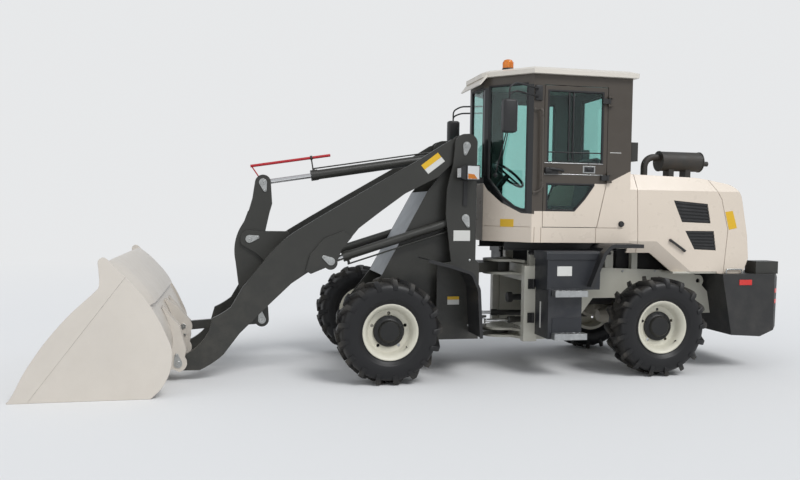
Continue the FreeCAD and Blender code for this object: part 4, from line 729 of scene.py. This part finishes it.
FRONT_EDGE = [(-4507, 92), (-4424, 260), (-4274, 490), (-4089, 712), (-3895, 898), (-3856, 958), (-3860, 1080),
              (-3866, 1148), (-3850, 1176), (-3826, 1186), (-3802, 1176), (-3775, 1150)]
SIDE_EDGE = [(-4562, 0, 1)] + FRONT_EDGE + [(-3700, 1076), (-3631, 1005), (-3562, 926), (-3500, 850), (-3400, 692),
                                            (-3318, 520), (-3284, 430), (-3278, 350), (-3286, 262), (-3310, 180),
                                            (-3368, 80), (-3450, 0, 1)]
STRIP_EDGE = [(-4562, 0, 1)] + FRONT_EDGE + [(-3700, 1076), (-3650, 1024, 1), (-4400, 12, 1), (-4391, 0, 1)]
plates = []
for side in (-1, 1):
    outline = [spot(x, side * 1100, z) for x, z in curve(SIDE_EDGE)]
    plates.append(slab(outline, (0, side, 0), 0, 0.019, 0.003))
    outline = [spot(x, side * 1118, z) for x, z in curve(STRIP_EDGE)]
    plates.append(slab(outline, (0, side, 0), 0, 0.005, 0.002))
piece = add_mesh("bucket_side_plates", *join(plates), "bucket", white)
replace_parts(piece, "bucket_sides")

SHELL_OUT = [(-4425, 6), (-3590, 6), (-3500, 22), (-3420, 82), (-3366, 180), (-3335, 270), (-3324, 350),
             (-3327, 435), (-3346, 520), (-3425, 695), (-3512, 850), (-3630, 1000), (-3776, 1146, 1)]
SHELL_IN = [(-3788, 1134, 1), (-3645, 990), (-3526, 841), (-3440, 688), (-3361, 515), (-3343, 435),
            (-3339, 350), (-3352, 270), (-3381, 186), (-3432, 94), (-3505, 38), (-3590, 22), (-4425, 22)]
outline = curve(SHELL_OUT, False) + curve(SHELL_IN, False)
lip = [(-4570, 0), (-4570, 4), (-4500, 32), (-4400, 32), (-4400, 22), (-4430, 22), (-4430, 0)]
RIDGE = curve([(-3782, 1162, 1), (-3745, 1148), (-3670, 1092), (-3605, 1028), (-3513, 925), (-3460, 850),
               (-3428, 790, 1)], False)
LOW_RIDGE = curve([(-3784, 1154, 1), (-3766, 1138), (-3706, 1076), (-3638, 1002), (-3569, 916), (-3512, 842),
                   (-3472, 780, 1)], False)
INNER = curve([(-3478, 776, 1), (-3520, 830), (-3572, 900), (-3655, 995), (-3716, 1056), (-3760, 1100),
               (-3792, 1136, 1)], False)
stations = []
for y, share in ((-1100, 0.0), (-1085, 0.1), (-1010, 0.55), (-945, 0.92), (-920, 1.0), (920, 1.0), (945, 0.92),
                 (1010, 0.55), (1085, 0.1), (1100, 0.0)):
    ring = [spot(a + (c - a) * share, y, b + (d - b) * share) for (a, b), (c, d) in zip(LOW_RIDGE, RIDGE)]
    stations.append(ring + [spot(x, y, z) for x, z in INNER])
shell = join([prism(outline, -1100, 1100), prism(lip, -1100, 1100), bands(stations)])
piece = add_mesh("bucket_rolled_shell", *shell, "bucket", white)
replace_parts(piece, "bucket_shell")

# Rubber seals round the panes: black extrusions pressed into each opening, proud of the
# sheet by a few millimetres, which close on the glass.
seal_rubber = moulded("seal_rubber", (0.012, 0.012, 0.013), 0.55, 500)


def pane_loops(name):
    # The outline of each pane of a node, on its outer face, with that face's direction.
    shape = bmesh.new()
    shape.from_mesh(nodes[name].data)
    bmesh.ops.remove_doubles(shape, verts=shape.verts, dist=1e-5)
    bmesh.ops.dissolve_limit(shape, angle_limit=0.01, verts=shape.verts, edges=shape.edges)
    faces = sorted(shape.faces, key=lambda face: -face.calc_area())
    middle = (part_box("cab_frame")[0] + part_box("cab_frame")[1]) / 2
    loops = []
    for face in faces:
        if face.calc_area() < 0.05:
            break
        if face.normal.dot(face.calc_center_median() - middle) > 0:
            loops.append(([v.co.copy() for v in face.verts], face.normal.copy()))
    shape.free()
    return loops


def seal(loop, normal, width, rise, sink):
    # A frame on the loop, from its edge inwards by width.
    inner = inset(loop, width)
    rings = [[p - normal * sink for p in loop], [p + normal * (rise - 0.002) for p in loop],
             [o.lerp(i, 0.15) + normal * rise for o, i in zip(loop, inner)],
             [o.lerp(i, 0.75) + normal * rise for o, i in zip(loop, inner)],
             [p + normal * (rise * 0.4) for p in inner], [p - normal * sink for p in inner]]
    return bands(rings + rings[:1], False)


for name, body in (("windscreen", "rear_frame"), ("cab_glass", "rear_frame"), ("door_glass", "door")):
    seals = [seal(loop, normal, 0.022, 0.015, 0.001) for loop, normal in pane_loops(name)]
    add_mesh("seals_" + name, *join(seals), body, seal_rubber, False)

# Mirrors: two steel tubes from the pillar carry each head, a rounded plastic shell with a
# silvered glass in its rear face.


def tube(points, r, sides=12, bend=0.04, per=6):
    # A bent tube; each corner is rounded over the bend length.
    path = [points[0]]
    for i in range(1, len(points) - 1):
        here = points[i]
        before, after = points[i - 1] - here, points[i + 1] - here
        first = here + before.normalized() * min(bend, before.length * 0.45)
        last = here + after.normalized() * min(bend, after.length * 0.45)
        for k in range(per + 1):
            t = k / per
            path.append(first * (1 - t) ** 2 + here * (2 * t * (1 - t)) + last * t * t)
    path.append(points[-1])
    rings = []
    across = None
    for i, p in enumerate(path):
        way = (path[min(i + 1, len(path) - 1)] - path[max(i - 1, 0)]).normalized()
        if across is None:
            across = frame_of(way)[0]
        across = (across - way * across.dot(way)).normalized()
        other = way.cross(across)
        angles = [2 * math.pi * k / sides for k in range(sides)]
        rings.append([p + across * (r * math.cos(a)) + other * (r * math.sin(a)) for a in angles])
    return bands(rings)


def rounded(low, high, r, rings=3):
    # A block between two corners with its edges rounded.
    shape = bmesh.new()
    bmesh.ops.create_cube(shape, size=1)
    for v in shape.verts:
        v.co = Vector((low[i] + (high[i] - low[i]) * (v.co[i] + 0.5) for i in range(3)))
    bmesh.ops.bevel(shape, geom=shape.edges[:], offset=r, segments=rings, profile=0.5, affect="EDGES")
    result = [v.co.copy() for v in shape.verts], [tuple(v.index for v in face.verts) for face in shape.faces]
    shape.free()
    return result


mirror_glass = material("mirror_glass", (0.55, 0.57, 0.60), 0.06, 1.0)
streaks = noise(mirror_glass, 14, 5, 0.7)
link(mirror_glass, step(mirror_glass, streaks, 0.4, 0.7, 0.04, 0.16), "Roughness")
link(mirror_glass, blend_colours(mirror_glass, streaks, (0.50, 0.52, 0.55), (0.60, 0.62, 0.65)), "Base Color")
relief(mirror_glass, noise(mirror_glass, 3, 2), 0.02, 0.001)
bars, heads, glasses = [], [], []
for side in (-1, 1):
    y = side * 945
    for low, high, top in ((2742, 2735, 2707), (2820, 2812, 2773)):
        bars.append(tube([spot(120, side * 648, high), spot(95, side * 700, high), spot(-200, y - side * 40, low),
                          spot(-280, y, top), spot(-280, y, 2640)], 0.009))
    bars.append(rounded(spot(90, min(side * 640, side * 668), 2700), spot(165, max(side * 640, side * 668), 2850), 0.008))
    heads.append(rounded(spot(-345, y - 50, 2345), spot(-215, y + 50, 2655), 0.022))
    face = [spot(-216, y - 40, 2360), spot(-216, y + 40, 2360), spot(-216, y + 40, 2640), spot(-216, y - 40, 2640)]
    glasses.append(slab(face, (1, 0, 0), 0, 0.004, 0.002))
shells = add_mesh("mirror_heads", *join(bars + heads), "rear_frame", black)
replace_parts(shells, "mirrors")
add_mesh("mirror_glasses", *join(glasses), "rear_frame", mirror_glass)

# Handles: bent steel tubes beside both doors, the loop below the hood's tail, the door's
# moulded grip and the framed lock plate, which stays blank.
rails = []
for side in (-1, 1):
    wall, away = side * 652, side * 700
    rails.append(tube([spot(98, wall, 2610), spot(150, away, 2616), spot(158, away, 2540), spot(162, away, 1830),
                       spot(98, wall, 1800)], 0.0125, 16))
    for z in (2610, 1800):
        rails.append(bolt(spot(98, wall, z), (0, side, 0), 0.014, 20))
rail_paint = painted("rail_paint", (0.075, 0.064, 0.052), 0.3, 0.1, (0.2, 0.18, 0.16), (0.30, 0.28, 0.25), 1.0)
piece = add_mesh("handle_tubes", *join(rails), "rear_frame", rail_paint)
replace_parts(piece, "grab_rails")

grips = [rounded(spot(198, -690, 2004), spot(268, -648, 2050), 0.008),
         tube([spot(240, -684, 2040), spot(300, -690, 2034), spot(392, -676, 2022), spot(400, -648, 2020)], 0.012)]
lock = [spot(624, -652, 2014), spot(726, -652, 2014), spot(726, -652, 2065), spot(624, -652, 2065)]
grips.append(slab(lock, (0, -1, 0), 0, 0.008, 0.002))
grips.append(rounded(spot(650, -668, 2028), spot(700, -655, 2050), 0.005))
for x, z0, z1 in ((448, 2127, 2795), (494, 2127, 2795)):
    grips.append(rounded(spot(x, -646, z0), spot(x + 14, -634, z1), 0.003))
grips.append(rounded(spot(245, -648, 2198), spot(806, -636, 2210), 0.004))
add_mesh("door_grips", *join(grips), "door", black)
trims = []
plate_rim = [spot(609, -650, 2003), spot(741, -650, 2003), spot(741, -650, 2076), spot(609, -650, 2076)]
trims.append(slab(plate_rim, (0, -1, 0), 0, 0.005, 0.002))
for z in (2092, 1982):
    trims.append(rounded(spot(200, -655, z), spot(826, -648, z + 9), 0.003))
add_mesh("door_trims", *join(trims), "door", zinc)
loops = []
for side in (-1, 1):
    ends = [spot(2236, side * 668, 998), spot(2236, side * 668, 1045), spot(2420, side * 668, 1045),
            spot(2420, side * 668, 998)]
    loops.append(tube(ends, 0.008, 12, 0.03))
add_mesh("tail_loops", *join(loops), "rear_frame", zinc)

# Pins and keepers: hex bolts at the tip of each plated keeper and a turned cap with a
# grease nipple on each pin, and the bolt rows of the fenders and the hinge leaves.
KEEPERS = (
    # x, z, face across, direction in degrees, body
    (-550, 2250, 508, -100, "front_frame"),
    (-550, 1540, 508, -70, "front_frame"),
    (-1870, 1112, 485, 150, "boom"),
    (-2626, 1306, 96, 12, "boom"),
    (-2499, 1863, 65, -75, "bellcrank"),
    (-2498, 503, 65, 100, "bellcrank"),
    (-3270, 170, 491, 100, "bucket"),
    (-3250, 450, 63, -80, "bucket"),
)
by_body = {}
for x, z, face, angle, body in KEEPERS:
    way = math.radians(angle)
    for side in (-1, 1):
        heads = by_body.setdefault(body, [])
        out = Vector((0, side, 0))
        tip = spot(x + 80 * math.cos(way), side * face, z + 80 * math.sin(way))
        heads.append(bolt(tip, out, 0.0095))
        cap = spot(x, side * (face + 2), z)
        heads.append(turned_rings(cap, out, [(-0.004, 0.026), (0.002, 0.026), (0.0035, 0.024)], 28))
        heads.append(turned_rings(cap, out, [(0, 0.006), (0.006, 0.006), (0.0075, 0.004), (0.0085, 0.004)], 10))
for side in (-1, 1):
    for x, z in ((-500, 1128), (-500, 700), (-500, 480)):
        by_body["front_frame"].append(bolt(spot(x, side * 500, z), (0, side, 0), 0.010))
by_body["rear_frame"] = []
for side in (-1, 1):
    for x in (1190, 1560, 2200):
        by_body["rear_frame"].append(bolt(spot(x, side * 425, 1010), (0, side, 0), 0.011))
for body, heads in by_body.items():
    add_mesh("bolts_" + body, *join(heads), body, zinc, False)

# Labels: blank vinyl films on the boom, tower, cab, hood tail and side box, plain white or
# yellow, and the red reflectors of the counterweight.


def film(name, colour, roughness):
    made = painted(name, colour, roughness, 0.2, DUST, [0.8 * c for c in colour], 0.3, 0.1)
    return made


def wall_spot(s, z, off=0.0):
    # A point on the cab's slanting left wall, s back from its front corner.
    return spot(-290 + 0.679 * s - 0.734 * off, -250 - 0.734 * s - 0.679 * off, z)


def wall_sheet(corners, y, side=-1):
    return [spot(x, y, z) for x, z in corners], (0, side, 0)


white_film = film("white_film", (0.66, 0.66, 0.63), 0.35)
yellow_film = film("yellow_film", (0.72, 0.44, 0.02), 0.35)
red_film = film("red_film", (0.62, 0.03, 0.025), 0.25)
WHITE_LABELS = (
    ([(-670, 1315), (-500, 1315), (-500, 1419), (-670, 1419)], -500, "front_frame"),
    ([(-720, 688), (-601, 688), (-601, 737), (-720, 737)], -500, "front_frame"),
    ([(280, 995), (433, 995), (433, 1089), (280, 1089)], -838, "rear_frame"),
    ([(-792, 2136), (-755, 2095), (-922, 1966), (-959, 2007)], -450, "boom"),
    ([(899, 2211), (1020, 2211), (1020, 2218), (899, 2218)], -650, "rear_frame"),
)
YELLOW_LABELS = (
    ([(-720, 737), (-601, 737), (-601, 768), (-720, 768)], -500, "front_frame"),
    ([(2216, 1640), (2303, 1654), (2358, 1474), (2264, 1455)], -650, "rear_frame"),
    ([(-829, 2178), (-792, 2136), (-959, 2007), (-995, 2049)], -450, "boom"),
)
RED_LABELS = (
    ([(2334, 886), (2482, 886), (2482, 942), (2334, 942)], -750, "rear_frame"),
    ([(2334, 886), (2482, 886), (2482, 942), (2334, 942)], 750, "rear_frame"),
)
for group, made, labels in (("white", white_film, WHITE_LABELS), ("yellow", yellow_film, YELLOW_LABELS),
                            ("red", red_film, RED_LABELS)):
    by_body = {}
    for corners, y, body in labels:
        loop, normal = wall_sheet(corners, y, 1 if y > 0 else -1)
        thick = 0.006 if group == "red" else 0.0015
        by_body.setdefault(body, []).append(slab(loop, normal, 0, thick, thick / 2))
    if group == "white":
        loop = [spot(190, y, z) for y, z in ((-640, 468), (-672, 468), (-672, 729), (-640, 729))]
        by_body["rear_frame"].append(slab(loop, (-1, 0, 0), 0, 0.0015, 0.0007))
    if group == "yellow":
        loop = [wall_spot(s, z) for s, z in ((200, 1458), (350, 1458), (350, 1536), (200, 1536))]
        by_body["rear_frame"].append(slab(loop, (-0.734, -0.679, 0), 0, 0.0015, 0.0007))
    for body, sheets in by_body.items():
        piece = add_mesh("%s_labels_%s" % (group, body), *join(sheets), body, made, False)

# Lamps: clear and amber lenses on the front lamps, red lenses at the counterweight's rear
# corners, and the wiper on the slanting left pane.
lens = material("clear_lens", (0.75, 0.77, 0.78), 0.12)
ribs = node(lens, "ShaderNodeTexWave", [("Vector", coordinates(lens)), ("Scale", 60.0), ("Distortion", 1.0)]).outputs["Fac"]
link(lens, blend_colours(lens, ribs, (0.80, 0.81, 0.81), (0.42, 0.43, 0.44)), "Base Color")
link(lens, step(lens, noise(lens, 20, 4), 0.3, 0.7, 0.08, 0.2), "Roughness")
relief(lens, ribs, 0.4, 0.001)
clear, amber_parts, red_parts = [], [], []
for side in (-1, 1):
    face = [spot(x, side * 695, z) for x, z in ((-596, 1915), (-480, 1915), (-480, 2042), (-596, 2042))]
    clear.append(slab(face, (0, side, 0), 0, 0.006, 0.003))
    patch = [spot(x, side * 701, z) for x, z in ((-592, 1920), (-500, 1920), (-530, 1962), (-592, 1968))]
    amber_parts.append(slab(patch, (0, side, 0), 0, 0.004, 0.002))
    nose = [spot(-655, side * y, z) for y, z in ((565, 1932), (675, 1932), (675, 2022), (565, 2022))]
    clear.append(slab(nose, (-1, 0, 0), 0, 0.006, 0.003))
    for z in (690, 800):
        strip = [spot(x, side * y, z + up) for x, y, up in ((2765, 735.7, 0), (2837, 666.8, 0), (2837, 666.8, 45),
                                                            (2765, 735.7, 45))]
        red_parts.append(slab(strip, (0.691, side * 0.723, 0), -0.002, 0.004, 0.002))
add_mesh("lamp_lenses", *join(clear), "front_frame", lens)
add_mesh("lamp_amber", *join(amber_parts), "front_frame", amber)
add_mesh("corner_lamps", *join(red_parts), "rear_frame", red_film)
arm = tube([wall_spot(130, 1960, 8), wall_spot(151, 2001, 20), wall_spot(255, 2388, 20), wall_spot(262, 2420, 10)],
           0.006, 10)
blade = tube([wall_spot(215, 2150, 9), wall_spot(290, 2480, 9)], 0.005, 8)
pivot = turned_rings(wall_spot(140, 1975, 0), (-0.734, -0.679, 0), [(0, 0.022), (0.02, 0.020), (0.026, 0.012)], 20)
add_mesh("wiper", *join([arm, blade, pivot]), "rear_frame", black)

# Beacon: a domed amber lens with moulded ribs on a black foot, screwed to the roof.
foot = [(-0.002, 0.060), (0.014, 0.060), (0.019, 0.057), (0.020, 0.050)]
dome = [(0.016, 0.050), (0.024, 0.054), (0.060, 0.053), (0.085, 0.050), (0.100, 0.041), (0.107, 0.026), (0.110, 0.010)]
standing = [v.co for v in nodes["beacon"].data.vertices]
seat_z = min(v.z for v in standing)
middle = (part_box("beacon")[0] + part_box("beacon")[1]) / 2
middle.z = seat_z
base = add_mesh("beacon_foot", *turned_rings(middle, (0, 0, 1), foot, 36), "rear_frame", black)
ribbed = [turned_rings(middle, (0, 0, 1), dome, 36)]
for i in range(12):
    a = math.pi * i / 6
    side = Vector((math.cos(a), math.sin(a), 0)) * 0.0525
    ribbed.append(tube([middle + side + Vector((0, 0, 0.024)), middle + side + Vector((0, 0, 0.080))], 0.003, 8))
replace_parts(add_mesh("beacon_dome", *join(ribbed), "rear_frame", amber), "beacon")

# Floor rails: two folded channels with cross members and rubber mounts, between the
# frame's posts and the cab floor, in black.
channel = [(0, 0), (55, 0), (55, 8), (8, 8), (8, 77), (55, 77), (55, 85), (0, 85)]
rails = []
for side in (-1, 1):
    for x0, x1 in ((-110, 1120),):
        outline = [(side * (400 + across), 1222 + up) for across, up in channel]
        rails.append(bands([[spot(x, y, z) for y, z in outline] for x in (x0, x1)]))
for x in (150, 420, 700, 980):
    outline = [(x + across, 1222 + up) for across, up in channel]
    rails.append(bands([[spot(px, y, z) for px, z in outline] for y in (-400, 400)]))
    for side in (-1, 1):
        mount = spot(x + 30, side * 430, 1180)
        rails.append(turned_rings(mount, (0, 0, 1), [(0, 0.034), (0.02, 0.040), (0.03, 0.030), (0.042, 0.040),
                                                     (0.046, 0.036)], 24))
add_mesh("floor_rails", *join(rails), "rear_frame", black, False)

# Seat: two stuffed cushions in dark cloth on a moulded base with a suspension bellows.
# The cushions are swollen by a short cloth run with air pressure inside.
cloth = material("seat_cloth", (0.030, 0.032, 0.036), 0.85)
weave = node(cloth, "ShaderNodeTexBrick", [("Vector", coordinates(cloth)), ("Scale", 90.0)]).outputs["Fac"]
worn_patch = step(cloth, noise(cloth, 6, 5, 0.6), 0.4, 0.7)
link(cloth, blend_colours(cloth, worn_patch, (0.030, 0.032, 0.036), (0.050, 0.052, 0.056)), "Base Color")
link(cloth, step(cloth, worn_patch, 0, 1, 0.8, 0.95), "Roughness")
cloth.node_tree.nodes["Principled BSDF"].inputs["Sheen Weight"].default_value = 0.3
relief(cloth, weave, 0.3, 0.0008, 0.001)


def cushion(name, low, high, r, lean=0.0, pivot=None):
    vertices, faces = rounded(low, high, r, 4)
    if lean:
        turn = Matrix.Translation(pivot) @ Matrix.Rotation(lean, 4, "Y") @ Matrix.Translation(-pivot)
        vertices = [turn @ v for v in vertices]
    piece = add_mesh(name, vertices, faces, "rear_frame", cloth)
    skin = piece.modifiers.new("skin", "REMESH")
    skin.mode = "VOXEL"
    skin.voxel_size = 0.006
    bpy.context.view_layer.objects.active = piece
    piece.select_set(True)
    bpy.ops.object.modifier_apply(modifier="skin")
    before = [v.co.copy() for v in piece.data.vertices]
    air = piece.modifiers.new("air", "CLOTH")
    air.settings.use_pressure = True
    air.settings.uniform_pressure_force = 4.0
    air.settings.effector_weights.gravity = 0.0
    air.settings.quality = 4
    air.collision_settings.use_collision = False
    for step_number in range(1, 21):
        bpy.context.scene.frame_set(step_number)
    bpy.ops.object.modifier_apply(modifier="air")
    bpy.context.scene.frame_set(1)
    for v, old in zip(piece.data.vertices, before):
        moved = v.co - old
        if moved.length > 0.012:
            v.co = old + moved.normalized() * 0.012
    piece.select_set(False)
    piece.data.shade_smooth()
    fine = piece.modifiers.new("fine", "SUBSURF")
    fine.levels = 1
    fine.render_levels = 1
    return piece


squab = cushion("seat_squab", spot(455, -225, 1580), spot(885, 225, 1670), 0.035)
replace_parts(squab, "seat")
cushion("seat_back", spot(872, -215, 1640), spot(955, 215, 2210), 0.035, math.radians(8), spot(900, 0, 1640))
base = [rounded(spot(490, -220, 1345), spot(870, 220, 1400), 0.012),
        rounded(spot(470, -232, 1545), spot(885, 232, 1590), 0.012)]
for i in range(4):
    base.append(rounded(spot(505 + 8 * (i % 2), -205, 1398 + 38 * i), spot(860 - 8 * (i % 2), 205, 1438 + 38 * i), 0.014))
add_mesh("seat_base", *join(base), "rear_frame", black)
